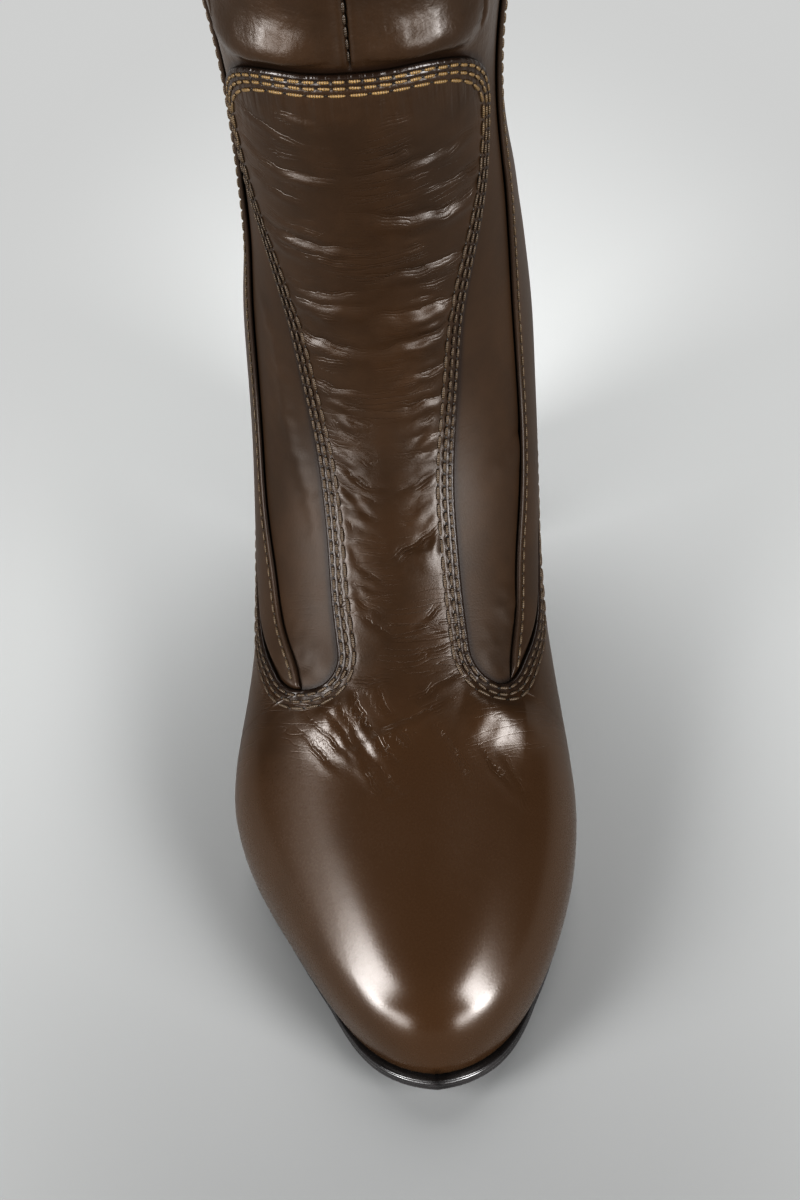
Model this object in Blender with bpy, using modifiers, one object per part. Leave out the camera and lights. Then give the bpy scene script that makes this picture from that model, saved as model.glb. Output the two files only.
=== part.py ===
"""Tall heeled boot for the right foot, empty, standing on its heel and forefoot.

Metres, +Z up. The toe points to -Y and the outer (lateral) side of the foot is at -X.
The upper is a loft through sections of the last: vertical across the forefoot, then fanning
back over the instep until they lie level in the shaft. Every other piece is worked out from it.
Sizes below are in millimetres, and MM turns them into metres where a mesh is made.
"""
import math
from collections import namedtuple

import bmesh
import bpy
import numpy as np

MM = 0.001

# Driving sizes
LENGTH = 240.0          # toe to heel along the floor, the unit of every "along" column
BALL_WIDTH = 90.0       # across the ball under the vamp, the unit of every width column
INSTEP = 78.0           # ridge over the sole at the throat, the unit of every "rise" column
HEEL_HEIGHT = 71.5      # underside of the sole over the floor at the back of the heel
SHAFT_HEIGHT = 358.5    # collar over the heel seat, the unit of the leg's heights
WALL = 2.2              # leather and lining together
OVERLAY = 1.0           # thickness of the vamp and of the shaft's back piece
GAP = 0.3               # between pieces that meet
OVERLAY_GAP = 0.4       # between the upper and what is sewn over it
BOX_MIDDLE = 122.7      # from the toe to the middle of the boot's box

# Toe: the plan's curve from the nose to the ball, and its top line and wall at the nose
TOE_FULLNESS = 1.66
NOSE_ROUND = 3.8        # how soon the top line climbs from the sole
NOSE_NORMAL = (0.0, -0.6, 0.8)
NOSE_WALL = 0.5         # share of the wall that is left at the nose
NOSE_SKIVE = 9.0        # length over which it thins

# Sole
TOE_SPRING = 10.5
TREAD_FRONT = 36.0
SOLE_PLAN = [  # along the boot: sole thickness, ledge outside the upper
    (0, 5.0, 4.0), (12, 5.0, 3.4), (30, 5.0, 1.6), (70, 5.0, 0.8), (110, 4.6, 0.6), (150, 4.0, 0.6),
    (240, 3.6, 1.0)]
SOLE_SIDE = [  # inset, share of the sole's thickness: a welt above a groove, rounded below
    (0.6, 1.0), (0.0, 0.88), (0.0, 0.66), (0.5, 0.58), (0.1, 0.48), (0.0, 0.22), (0.8, 0.0)]
SHANK = [  # percent of the length, percent of the heel's height: the underside's rise
    (36.7, 0.0), (46.7, 11.2), (58.3, 41.3), (70.8, 71.3), (83.3, 90.2), (96.3, 100.0)]
SOLE_COLUMNS = 4

# Heel: its seat under the sole, then its foot on the floor
HEEL_BREAST = 184.0
HEEL_FOOT_FRONT = 189.0
HEEL_FOOT_BACK = 223.0
HEEL_FOOT_WIDTH = 45.0
HEEL_SEAT_INSET = 1.0
HEEL_FLARE = 1.8        # how late it widens towards the seat
HEEL_LEVELS = 7

INSOLE_INSET = 3.8
INSOLE_THICK = 2.0

# Vamp: window for the quarter beside the instep, and the shin panel's top
WINDOW_FRONT = 93.4     # station of the window's rounded front end
WINDOW_ROUND = 9.0      # stations over which that end opens
WINDOW_WIDTH = 24.5     # from the ridge to the middle of that end
PANEL_TOP = 331.5       # station of the panel's top edge
PANEL_CORNER = (24.0, 26.0)   # round of its corners, along the shin and across it
VAMP_HEM = 1.4          # lower edge of the vamp over the sole
EDGE_GAP = 0.8          # between the galosh and the shaft's back piece
TIP_WIDTH = 2.0         # of the back piece where it starts, at the galosh
GALOSH = [  # percent of the length, percent of the instep: the galosh's height over the sole
    (38.5, 60.0), (41.3, 61.0), (43.3, 59.0), (47.5, 51.5), (51.7, 44.0), (58.3, 38.0),
    (70.8, 36.0), (83.3, 37.0), (97.0, 41.0)]

# Sections, toe to collar. Along the boot at the ridge and at the section's far end, in percent of
# LENGTH; their heights; then ridge, outer and inner half width, shin panel and side seam, in
# percent of BALL_WIDTH, the last two measured over the leather from the ridge. Belly is the
# share of the section at which it is widest, and the exponents square its two ends.
Section = namedtuple(
    "Section", "name top_along end_along top_high end_high ridge lateral medial panel seam"
    " belly top_power end_power")
FOOT = [  # heights over the sole's underside, in percent of INSTEP
    Section("toe", 2.3, 2.3, 29.0, -9.0, 4.8, 45.5, 45.5, 19.5, 33.0, 0.46, 2.20, 2.60),
    Section("cap", 17.9, 17.9, 54.5, -10.5, 3.5, 47.0, 44.0, 19.5, 33.0, 0.48, 2.15, 2.60),
    Section("ball", 34.2, 34.2, 71.8, -16.5, 1.4, 54.2, 45.6, 19.5, 33.0, 0.49, 2.10, 2.60),
    Section("waist", 40.4, 42.5, 82.4, -15.3, 0.4, 50.8, 44.6, 19.5, 33.0, 0.50, 2.00, 2.50),
    Section("low_instep", 45.4, 51.7, 88.8, -18.6, -1.0, 45.4, 43.4, 19.6, 38.5, 0.50, 1.95, 2.40),
    Section("instep", 49.6, 60.8, 93.3, -18.3, -1.6, 42.8, 42.2, 19.5, 42.0, 0.50, 1.90, 2.30),
    Section("throat", 52.9, 70.8, 98.9, -14.1, -2.0, 41.4, 42.8, 19.6, 45.5, 0.49, 1.90, 2.30),
    Section("bend", 55.2, 81.2, 108.5, -12.6, -2.0, 40.9, 43.3, 20.8, 48.5, 0.48, 1.95, 2.30),
    Section("heel_low", 56.5, 90.0, 120.8, -8.5, -2.0, 40.8, 43.4, 22.7, 50.5, 0.47, 2.00, 2.25),
    Section("heel_seat", 57.0, 96.5, 134.8, 4.4, -2.0, 40.4, 43.3, 24.4, 51.0, 0.46, 2.05, 2.20)]
LEG = [  # heights over HEEL_HEIGHT, in percent of SHAFT_HEIGHT
    Section("heel_back", 57.2, 98.3, 20.2, 6.6, -2.0, 38.9, 42.4, 26.2, 51.0, 0.46, 2.10, 2.10),
    Section("counter", 57.1, 97.7, 23.6, 12.4, -2.0, 36.2, 40.9, 29.4, 51.5, 0.46, 2.20, 2.00),
    Section("ankle", 56.7, 94.8, 28.0, 19.9, -2.0, 34.0, 38.9, 34.8, 52.0, 0.46, 2.30, 1.95),
    Section("neck", 56.0, 91.7, 33.1, 28.0, -2.0, 33.1, 36.4, 40.6, 53.5, 0.46, 2.40, 1.95),
    Section("shin", 55.4, 90.2, 38.6, 36.4, -2.0, 33.6, 36.9, 42.8, 55.0, 0.47, 2.40, 2.00),
    Section("low_calf", 54.8, 91.2, 45.3, 44.8, -1.8, 37.4, 41.0, 44.5, 58.0, 0.48, 2.30, 2.00),
    Section("calf", 53.5, 95.0, 55.9, 55.9, -1.0, 45.7, 47.7, 45.0, 66.0, 0.49, 2.15, 2.00),
    Section("high_calf", 52.3, 98.8, 69.3, 69.3, -0.4, 53.8, 54.6, 45.0, 75.0, 0.50, 2.05, 2.00),
    Section("top_calf", 51.5, 100.8, 83.8, 83.8, 0.0, 59.4, 59.4, 45.0, 81.5, 0.50, 2.00, 2.00),
    Section("collar", 51.0, 101.2, 100.0, 100.0, 0.0, 61.7, 61.7, 45.0, 85.5, 0.50, 2.00, 2.00)]

# How finely the loft is cut
CURVE_SAMPLES = 90
PANEL_COLUMNS = 3       # ridge to panel edge, on each side
QUARTER_COLUMNS = 2     # panel edge to side seam
BACK_COLUMNS = 7        # side seam to feather or to the back line
TOE_ROWS = 6
TOE_STEP = 1.0
FOOT_STEP = 9.5
ANKLE_STEP = 11.0
LEG_STEP = 26.0
HEEL_REACH = 26.0       # stations over which rows crowd towards a line that closes at the back
GALOSH_REACH = 14.0
WINDOW_SHARES = (0.0, 0.12, 0.45)             # rows across the window's rounded end
CORNER_SHARES = (1.0, 0.6, 0.3, 0.1, 0.0)     # rows up the panel's rounded corners
FINE = 0.05             # steps for the surface's slopes, up the boot and as a share of its half
FINE_SHARE = 0.004
WELD = 0.02
TINY = 1e-6

# Colours, roughness
BROWN_LEATHER = ((0.075, 0.044, 0.029, 1.0), 0.32)
BLACK_EDGE = ((0.012, 0.010, 0.009, 1.0), 0.30)
HEEL_FINISH = ((0.014, 0.011, 0.010, 1.0), 0.33)
TAN_SOCK = ((0.30, 0.20, 0.13, 1.0), 0.60)


def spline(xs, ys, start_slope=None):
    """A cubic through the points, with free ends or a given slope at its start."""
    xs, ys = np.asarray(xs, float), np.asarray(ys, float)
    count, span = len(xs), np.diff(xs)
    system, right_side = np.zeros((count, count)), np.zeros(count)
    system[0, 0] = system[-1, -1] = 1.0
    if start_slope is not None:
        system[0, :2] = 2 * span[0], span[0]
        right_side[0] = 6 * ((ys[1] - ys[0]) / span[0] - start_slope)
    for i in range(1, count - 1):
        system[i, i - 1:i + 2] = span[i - 1], 2 * (span[i - 1] + span[i]), span[i]
        right_side[i] = 6 * ((ys[i + 1] - ys[i]) / span[i] - (ys[i] - ys[i - 1]) / span[i - 1])
    bend = np.linalg.solve(system, right_side)

    def value(x):
        x = np.asarray(x, float)
        i = np.clip(np.searchsorted(xs, x) - 1, 0, count - 2)
        a, b, w = xs[i + 1] - x, x - xs[i], span[i]
        cubic = (bend[i] * a ** 3 + bend[i + 1] * b ** 3) / (6 * w)
        return cubic + (ys[i] / w - bend[i] * w / 6) * a + (ys[i + 1] / w - bend[i + 1] * w / 6) * b
    return value


def column(table, index):
    """One column of a table of rows."""
    return [row[index] for row in table]


shank_rise = spline(
    np.array(column(SHANK, 0)) * LENGTH / 100, np.array(column(SHANK, 1)) * HEEL_HEIGHT / 100, 0.0)
TREAD_BACK, SHANK_END = [SHANK[i][0] * LENGTH / 100 for i in (0, -1)]


def sole_under(along):
    """Height of the sole's underside: toe spring, flat tread, then the shank up to the heel seat."""
    along = np.asarray(along, float)
    spring = TOE_SPRING * (np.clip(TREAD_FRONT - along, 0, None) / TREAD_FRONT) ** 2
    slope = (shank_rise(SHANK_END) - shank_rise(SHANK_END - FINE)) / FINE
    rise = shank_rise(np.clip(along, TREAD_BACK, SHANK_END))
    rise = rise + slope * np.clip(along - SHANK_END, 0, None)
    return np.where(along > TREAD_BACK, rise, spring)


def sole_top(along):
    return sole_under(along) + np.interp(along, column(SOLE_PLAN, 0), column(SOLE_PLAN, 1))


def sole_ledge(along):
    """How far the sole stands out from the upper."""
    return np.interp(along, column(SOLE_PLAN, 0), column(SOLE_PLAN, 2))


def galosh_rise(along):
    """Height of the galosh's upper edge over the sole."""
    return np.interp(along, np.array(column(GALOSH, 0)) * LENGTH / 100,
                     np.array(column(GALOSH, 1)) * INSTEP / 100)


def in_millimetres(row, in_leg):
    """A row of the tables with its percentages worked out."""
    top, end = row.top_along * LENGTH / 100, row.end_along * LENGTH / 100
    if in_leg:
        high = [HEEL_HEIGHT + share * SHAFT_HEIGHT / 100 for share in (row.top_high, row.end_high)]
    else:
        high = [float(sole_under(at)) + share * INSTEP / 100
                for at, share in ((top, row.top_high), (end, row.end_high))]
    across = {name: getattr(row, name) * BALL_WIDTH / 100
              for name in ("ridge", "lateral", "medial", "panel", "seam")}
    return row._replace(top_along=top, end_along=end, top_high=high[0], end_high=high[1], **across)


SECTIONS = [in_millimetres(row, False) for row in FOOT] + [in_millimetres(row, True) for row in LEG]


def step_between(a, b):
    """How far the boot goes from one section to the next, halfway between its ridge and far end."""
    ridge = math.hypot(b.top_along - a.top_along, b.top_high - a.top_high)
    far = math.hypot(b.end_along - a.end_along, b.end_high - a.end_high)
    return (ridge + far) / 2


# A station is the distance along the boot, from the nose to the collar
STATIONS = np.cumsum([0.0] + [step_between(a, b) for a, b in zip(SECTIONS, SECTIONS[1:])])
STATION = {row.name: float(at) for row, at in zip(SECTIONS, STATIONS)}
NOSE, BALL = [row.top_along for row in SECTIONS if row.name in ("toe", "ball")]
COLLAR = STATION["collar"]
COLUMNS = {name: spline(STATIONS, [getattr(row, name) for row in SECTIONS])
           for name in Section._fields[1:]}


def section_at(station):
    """The section at a station, drawn in to the nose in front of the ball."""
    row = {name: float(curve(station)) for name, curve in COLUMNS.items()}
    if row["top_along"] < BALL:
        reach = min(1.0, (BALL - row["top_along"]) / (BALL - NOSE))
        for side in ("lateral", "medial"):
            row[side] *= (1 - reach ** 2) ** (1 / TOE_FULLNESS)
        drop = SECTIONS[0].top_high - float(sole_top(NOSE)) - GAP
        row["top_high"] -= drop * math.exp(-(row["top_along"] - NOSE) / NOSE_ROUND)
    return row


def half_section(row, side):
    """Points of one half of a section, ridge first, as across, along, high."""
    angle = np.linspace(0, math.pi, CURVE_SAMPLES)
    upper = angle <= math.pi / 2
    power = 2 / np.where(upper, row["top_power"], row["end_power"])
    width = row["lateral"] if side < 0 else row["medial"]
    reach = np.abs(np.cos(angle)) ** power
    belly = row["belly"]
    share = np.where(upper, belly * (1 - reach), belly + (1 - belly) * reach)
    return np.stack([
        row["ridge"] + side * width * np.abs(np.sin(angle)) ** power,
        row["top_along"] + (row["end_along"] - row["top_along"]) * share,
        row["top_high"] + (row["end_high"] - row["top_high"]) * share], axis=1)


def run_along(points):
    """Distance from the first point to each of the points."""
    return np.concatenate([[0.0], np.cumsum(np.linalg.norm(np.diff(points, axis=0), axis=1))])


def distance_at_rise(points, rise):
    """Distance from the ridge at which half a section comes down to a height over the sole."""
    over = points[:, 2] - sole_top(points[:, 1]) - rise(points[:, 1])
    run = run_along(points)
    below = np.nonzero(over <= 0)[0]
    if len(below) == 0:
        return run[-1]
    i = below[0]
    if i == 0:
        return 0.0
    return run[i - 1] + (run[i] - run[i - 1]) * over[i - 1] / (over[i - 1] - over[i])


def constant(height):
    return lambda along: np.full_like(np.asarray(along, float), height)


def feather_distance(station, side):
    """Distance from the ridge to the feather line, or to the back line of a closed section."""
    return max(TINY, distance_at_rise(half_section(section_at(station), side), constant(GAP)))


def window_opening(station):
    """How far the window's rounded end has opened, 0 at its end and 1 past its round."""
    reach = np.clip((station - WINDOW_FRONT) / WINDOW_ROUND, 0, 1)
    return math.sqrt(1 - (1 - reach) ** 2)


def panel_line(station):
    """Half width of the shin panel over the leather, widened round the window's end."""
    straight = float(COLUMNS["panel"](station))
    return straight + (WINDOW_WIDTH - straight) * (1 - window_opening(station))


def panel_edge(station):
    """The panel's half width with the rounded corners of its top."""
    high, wide = PANEL_CORNER
    reach = np.clip((station - PANEL_TOP + high) / high, 0, 1)
    return panel_line(station) - wide * (1 - math.sqrt(1 - reach ** 2))


def seam_line(station):
    return float(COLUMNS["seam"](station))


def galosh_distance(station, side, lift=0.0):
    """Distance from the ridge to the galosh's upper edge, raised by a lift."""
    points = half_section(section_at(station), side)
    straight = distance_at_rise(points, lambda along: galosh_rise(along) + lift)
    return straight - (straight - WINDOW_WIDTH) * (1 - window_opening(station))


def share_of(distance, station, side):
    return min(1.0, distance / feather_distance(station, side))


def line_share(line, station, side):
    """A line's place as a share of the half section, kept level in front of the window."""
    at = max(station, WINDOW_FRONT)
    return share_of(line(at), at, side)


def point_on(station, share, outward=0.0):
    """A point of the upper's outer surface; share runs from -1 (lateral) over the ridge to 1."""
    def plain(at, part):
        side = -1 if part < 0 else 1
        points = half_section(section_at(at), side)
        run = run_along(points)
        reach = abs(part) * distance_at_rise(points, constant(GAP))
        return np.array([np.interp(reach, run, points[:, i]) for i in range(3)])

    here = plain(station, share)
    if station == 0.0:
        return here + outward * np.array(NOSE_NORMAL)
    if outward == 0.0:
        return here
    side = -1 if share < 0 else 1
    far = min(abs(share) + FINE_SHARE, 1.0)
    near = far - 2 * FINE_SHARE
    across = (plain(station, side * far) - plain(station, side * near)) * side
    low, high = max(station - FINE, 0.0), min(station + FINE, COLLAR)
    normal = np.cross(across, plain(high, share) - plain(low, share))
    if share == 0.0 or (abs(share) == 1.0 and station > CLOSING):
        normal[0] = 0.0
    return here + outward * normal / np.linalg.norm(normal)


def find_station(low, high, is_past):
    """The station between two others from which a test holds."""
    for _ in range(40):
        middle = (low + high) / 2
        low, high = (low, middle) if is_past(middle) else (middle, high)
    return high


def end_over_sole(station):
    row = section_at(station)
    return row["end_high"] - float(sole_top(row["end_along"]))


# The feather line closes behind the heel where a section's far end clears the sole
CLOSING = find_station(
    STATION["heel_low"], STATION["heel_back"], lambda at: end_over_sole(at) > GAP)
HEM_CLOSING = find_station(
    STATION["heel_low"], STATION["heel_back"], lambda at: end_over_sole(at) > VAMP_HEM)


def galosh_closing(lift):
    """Station at which the galosh's edge, raised by a lift, meets itself behind the heel."""
    return find_station(
        STATION["heel_seat"], STATION["ankle"],
        lambda at: end_over_sole(at) > float(galosh_rise(section_at(at)["end_along"])) + lift)


GALOSH_CLOSING = galosh_closing(0.0)


def spaced(start, stop, step):
    """Even stations from start, up to but not at stop."""
    return list(np.linspace(start, stop, max(2, round((stop - start) / step) + 1))[:-1])


def crowded(stop, reach, count):
    """Stations up to stop that crowd towards it, so that a round end is cut evenly."""
    return [stop - reach * (1 - i / count) ** 2 for i in range(count)]


TOE_STATIONS = [TOE_STEP * i ** 2 for i in range(TOE_ROWS)]
FOREFOOT = TOE_STATIONS + spaced(TOE_STEP * TOE_ROWS ** 2, WINDOW_FRONT, FOOT_STEP)
WINDOW_ROWS = [WINDOW_FRONT + WINDOW_ROUND * share for share in WINDOW_SHARES]
INSTEP_ROWS = spaced(WINDOW_FRONT + WINDOW_ROUND, CLOSING - HEEL_REACH, FOOT_STEP)
HEEL_ROWS = crowded(CLOSING, HEEL_REACH, 5) + [CLOSING]
HEEL_BACK_ROWS = ([HEM_CLOSING + 1.0, HEM_CLOSING + 6.0] + crowded(GALOSH_CLOSING, GALOSH_REACH, 4)
                  + [GALOSH_CLOSING])
ANKLE_ROWS = spaced(galosh_closing(EDGE_GAP), PANEL_TOP, ANKLE_STEP)
LEG_ROWS = spaced(PANEL_TOP, COLLAR, LEG_STEP) + [COLLAR]
UPPER_ROWS = (FOREFOOT + WINDOW_ROWS + INSTEP_ROWS + HEEL_ROWS + HEEL_BACK_ROWS + ANKLE_ROWS
              + LEG_ROWS)
PANEL_ROWS = ([at for at in UPPER_ROWS if at < PANEL_TOP - PANEL_CORNER[0]]
              + [PANEL_TOP - PANEL_CORNER[0] * share for share in CORNER_SHARES])
GALOSH_ROWS = [at for at in UPPER_ROWS if at <= GALOSH_CLOSING]


def finish(name, build, color, roughness):
    """A named object with its mesh and its own material."""
    mesh = bpy.data.meshes.new(name)
    build.to_mesh(mesh)
    build.free()
    mesh.shade_smooth()
    material = bpy.data.materials.new(name)
    material.use_nodes = True
    shader = material.node_tree.nodes["Principled BSDF"]
    shader.inputs["Base Color"].default_value = color
    shader.inputs["Roughness"].default_value = roughness
    shader.inputs["Metallic"].default_value = 0.0
    mesh.materials.append(material)
    piece = bpy.data.objects.new(name, mesh)
    boot.objects.link(piece)
    piece.parent = stand
    return piece


def vertex(build, point):
    across, along, high = point
    return build.verts.new((across * MM, (along - BOX_MIDDLE) * MM, high * MM))


def loft(build, rows):
    """Faces between rows of points, which face out when the rows run up the boot."""
    grid = [[vertex(build, point) for point in row] for row in rows]
    for low, high in zip(grid, grid[1:]):
        for a, b, c, d in zip(low, low[1:], high[1:], high):
            build.faces.new((a, b, c, d))
    return grid


def weld(build):
    bmesh.ops.remove_doubles(build, verts=build.verts, dist=WELD * MM)
    bmesh.ops.dissolve_degenerate(build, edges=build.edges, dist=WELD * MM / 2)


def thicken(piece, thickness, outward):
    shell = piece.modifiers.new("wall", "SOLIDIFY")
    shell.thickness = thickness * MM
    shell.offset = 1.0 if outward else -1.0
    shell.use_rim = True


def thin_nose(piece):
    """Skive the wall towards the nose, where the upper is too narrow for its full thickness."""
    group = piece.vertex_groups.new(name="wall")
    for point in piece.data.vertices:
        along = point.co.y / MM + BOX_MIDDLE
        share = np.interp(along, (NOSE, NOSE + NOSE_SKIVE), (NOSE_WALL, 1.0))
        group.add([point.index], float(share), "REPLACE")
    piece.modifiers["wall"].vertex_group = group.name


def half_shares(station, side):
    """Columns of half the upper, ridge first: the panel, the quarter and the back have their own."""
    panel = line_share(panel_line, station, side)
    seam = line_share(seam_line, station, side)
    return np.concatenate([
        np.linspace(0, panel, PANEL_COLUMNS + 1)[:-1],
        np.linspace(panel, seam, QUARTER_COLUMNS + 1)[:-1],
        np.linspace(seam, 1.0, BACK_COLUMNS + 1)])


def side_row(station, side, shares, outward):
    """Points of one side of a row, in the order from lateral to medial."""
    return [point_on(station, side * share, outward) for share in shares[::side]]


def make_upper():
    """Quarters, shaft and lining as one hollow wall, open at the collar and underneath."""
    build = bmesh.new()
    for side in (-1, 1):
        loft(build, [side_row(at, side, half_shares(at, side), 0.0) for at in UPPER_ROWS])
    weld(build)
    piece = finish("upper", build, *BROWN_LEATHER)
    thicken(piece, WALL, outward=False)
    thin_nose(piece)


def hem_share(station, side):
    """Where the vamp stops over the sole."""
    points = half_section(section_at(station), side)
    return share_of(distance_at_rise(points, constant(VAMP_HEM)), station, side)


def make_vamp():
    """Vamp, shin panel and galosh in one piece, sewn over the upper's own columns."""
    build = bmesh.new()
    for side in (-1, 1):
        rows = []
        for at in PANEL_ROWS:
            edge = line_share(panel_edge, at, side)
            shares = np.minimum(half_shares(at, side)[:PANEL_COLUMNS + 1], edge)
            rows.append(side_row(at, side, shares, OVERLAY_GAP))
        loft(build, rows)
        rows = []
        for at in GALOSH_ROWS:
            edge = line_share(panel_line, at, side)
            if at > WINDOW_FRONT:
                edge = share_of(galosh_distance(at, side), at, side)
            shares = np.clip(half_shares(at, side)[PANEL_COLUMNS:], edge, hem_share(at, side))
            shares[0] = edge
            rows.append(side_row(at, side, shares, OVERLAY_GAP))
        loft(build, rows)
    weld(build)
    thicken(finish("vamp", build, *BROWN_LEATHER), OVERLAY, outward=True)


def make_shaft_back():
    """Back half of the shaft, sewn over the quarters along the two side seams."""
    build = bmesh.new()
    for side in (-1, 1):
        start = find_station(
            WINDOW_FRONT, STATION["instep"],
            lambda at: seam_line(at) + TIP_WIDTH < galosh_distance(at, side, EDGE_GAP))
        rows = []
        for at in [start] + [row for row in UPPER_ROWS if row > start + 1.0]:
            low = share_of(galosh_distance(at, side, EDGE_GAP), at, side)
            shares = np.minimum(half_shares(at, side)[-1 - BACK_COLUMNS:], low)
            rows.append(side_row(at, side, shares, OVERLAY_GAP))
        loft(build, rows)
    weld(build)
    thicken(finish("shaft_back", build, *BROWN_LEATHER), OVERLAY, outward=True)


def feather_line():
    """The upper's lower edge in plan, nose to heel: the lateral side and the medial side."""
    stations = [at for at in UPPER_ROWS if at <= CLOSING]
    return [np.array([point_on(at, side)[:2] for at in stations]) for side in (-1.0, 1.0)]


def moved_out(sides, amount):
    """The plan moved out by an amount that depends on the place along the boot."""
    lateral, medial = sides
    ring = np.concatenate([lateral, medial[-2:0:-1]])
    tangent = np.roll(ring, -1, axis=0) - np.roll(ring, 1, axis=0)
    normal = np.stack([-tangent[:, 1], tangent[:, 0]], axis=1)
    normal /= np.linalg.norm(normal, axis=1, keepdims=True)
    ring = ring + normal * amount(ring[:, 1])[:, None]
    count = len(lateral)
    return ring[:count], np.concatenate([ring[:1], ring[:count - 2:-1]])


def layer(sides, height):
    """Rows of points from the lateral side to the medial one, at a height for each place along."""
    shares = np.linspace(0, 1, SOLE_COLUMNS + 1)
    plan = [[left + (right - left) * share for share in shares] for left, right in zip(*sides)]
    return np.array([[(x, s, height(s)) for x, s in row] for row in plan])


def rim(rows):
    """The outer points of a layer, once round."""
    return [*rows[:, 0], *rows[-1, 1:], *rows[-2::-1, -1], *rows[0, -2:0:-1]]


def stack(build, layers):
    """A solid from layers of points, the lowest first."""
    loops = [[vertex(build, point) for point in rim(rows)] for rows in layers]
    for low, high in zip(loops, loops[1:]):
        for i in range(len(low)):
            build.faces.new((low[i - 1], low[i], high[i], high[i - 1]))
    loft(build, layers[0])
    loft(build, layers[-1])
    weld(build)
    bmesh.ops.recalc_face_normals(build, faces=build.faces)


def make_outsole():
    """Sole with toe spring, flat tread and raised shank, and a welt line round its edge."""
    layers = []
    for inset, share in reversed(SOLE_SIDE):
        sides = moved_out(feather_line(), lambda along: sole_ledge(along) - inset)
        layers.append(layer(sides, lambda s: sole_under(s) + (sole_top(s) - sole_under(s)) * share))
    build = bmesh.new()
    stack(build, layers)
    finish("outsole", build, *BLACK_EDGE)


def make_insole():
    """Sock that lies on the sole inside the upper."""
    inside = [side[1:] for side in feather_line()]
    sides = moved_out(inside, constant(-INSOLE_INSET))
    build = bmesh.new()
    stack(build, [layer(sides, lambda s: sole_top(s) + GAP),
                  layer(sides, lambda s: sole_top(s) + GAP + INSOLE_THICK)])
    finish("insole", build, *TAN_SOCK)


def make_heel():
    """Block heel, drawn in from the seat to its foot, with a straight breast."""
    sides = []
    for side in moved_out(feather_line(), constant(-HEEL_SEAT_INSET)):
        corner = (np.interp(HEEL_BREAST, side[:, 1], side[:, 0]), HEEL_BREAST)
        sides.append(np.array([corner, *side[side[:, 1] > HEEL_BREAST + HEEL_SEAT_INSET]]))
    seat = layer(sides, lambda s: sole_under(s) - GAP)
    front, back = seat[:, :, 1].min(), seat[:, :, 1].max()
    left, right = seat[:, :, 0].min(), seat[:, :, 0].max()
    foot = np.zeros_like(seat)
    foot[:, :, 0] = (left + right) / 2 + (
        seat[:, :, 0] - (left + right) / 2) * HEEL_FOOT_WIDTH / (right - left)
    foot[:, :, 1] = HEEL_FOOT_FRONT + (
        seat[:, :, 1] - front) * (HEEL_FOOT_BACK - HEEL_FOOT_FRONT) / (back - front)
    layers = []
    for level in range(HEEL_LEVELS + 1):
        up = level / HEEL_LEVELS
        points = foot + (seat - foot) * up ** HEEL_FLARE
        points[:, :, 2] = seat[:, :, 2] * up
        layers.append(points)
    build = bmesh.new()
    stack(build, layers)
    finish("heel", build, *HEEL_FINISH)


for old in list(bpy.data.objects):
    bpy.data.objects.remove(old, do_unlink=True)
boot = bpy.data.collections.new("tall_boot")
bpy.context.scene.collection.children.link(boot)
stand = bpy.data.objects.new("boot_place", None)
boot.objects.link(stand)

make_upper()
make_vamp()
make_shaft_back()
make_outsole()
make_insole()
make_heel()
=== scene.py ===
import math
from collections import namedtuple

import bmesh
import bpy
import numpy as np
from bpy.props import FloatProperty, FloatVectorProperty, IntProperty, PointerProperty
from mathutils import Matrix, Quaternion, Vector
from mathutils.bvhtree import BVHTree
from mathutils.kdtree import KDTree


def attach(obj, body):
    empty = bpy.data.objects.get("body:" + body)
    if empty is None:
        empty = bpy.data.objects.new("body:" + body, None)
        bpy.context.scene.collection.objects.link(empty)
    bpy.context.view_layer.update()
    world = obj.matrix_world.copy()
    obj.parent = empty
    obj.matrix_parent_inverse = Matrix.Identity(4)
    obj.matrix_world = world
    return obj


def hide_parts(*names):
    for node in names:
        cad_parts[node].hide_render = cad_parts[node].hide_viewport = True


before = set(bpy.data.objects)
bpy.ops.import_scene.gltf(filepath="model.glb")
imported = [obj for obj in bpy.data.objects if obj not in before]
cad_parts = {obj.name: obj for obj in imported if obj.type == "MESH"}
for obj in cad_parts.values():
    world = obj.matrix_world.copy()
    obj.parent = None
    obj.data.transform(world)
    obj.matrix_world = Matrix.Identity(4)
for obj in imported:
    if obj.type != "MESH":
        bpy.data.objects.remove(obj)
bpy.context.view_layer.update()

bl_info = {
    "name": "Tall heeled boot",
    "version": (1, 0, 0),
    "blender": (4, 5, 0),
    "location": "3D View > Sidebar > Boot",
    "description": "Smooth-leather tall boot with a sewn-on vamp and shin panel, block heel and studio",
    "category": "Object",
}

BODY = "root"
MM = 0.001

# The last, as in the part's source. Millimetres, toe at 0 along the boot, outer side at negative x.
LENGTH = 240.0
BALL_WIDTH = 90.0
INSTEP = 78.0
HEEL_HEIGHT = 71.5
SHAFT_HEIGHT = 358.5
GAP = 0.3
BOX_MIDDLE = 122.7
TOE_FULLNESS = 1.66
NOSE_ROUND = 3.8
NOSE_NORMAL = (0.0, -0.6, 0.8)
TOE_SPRING = 10.5
TREAD_FRONT = 36.0
SOLE_PLAN = [  # along the boot: sole thickness, ledge outside the upper
    (0, 5.0, 4.0), (12, 5.0, 3.4), (30, 5.0, 1.6), (70, 5.0, 0.8), (110, 4.6, 0.6), (150, 4.0, 0.6),
    (240, 3.6, 1.0)]
SHANK = [  # percent of the length, percent of the heel's height: the underside's rise
    (36.7, 0.0), (46.7, 11.2), (58.3, 41.3), (70.8, 71.3), (83.3, 90.2), (96.3, 100.0)]
HEEL_BREAST = 184.0
HEEL_FOOT_FRONT = 189.0
HEEL_FOOT_BACK = 223.0
HEEL_FOOT_WIDTH = 45.0
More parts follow.
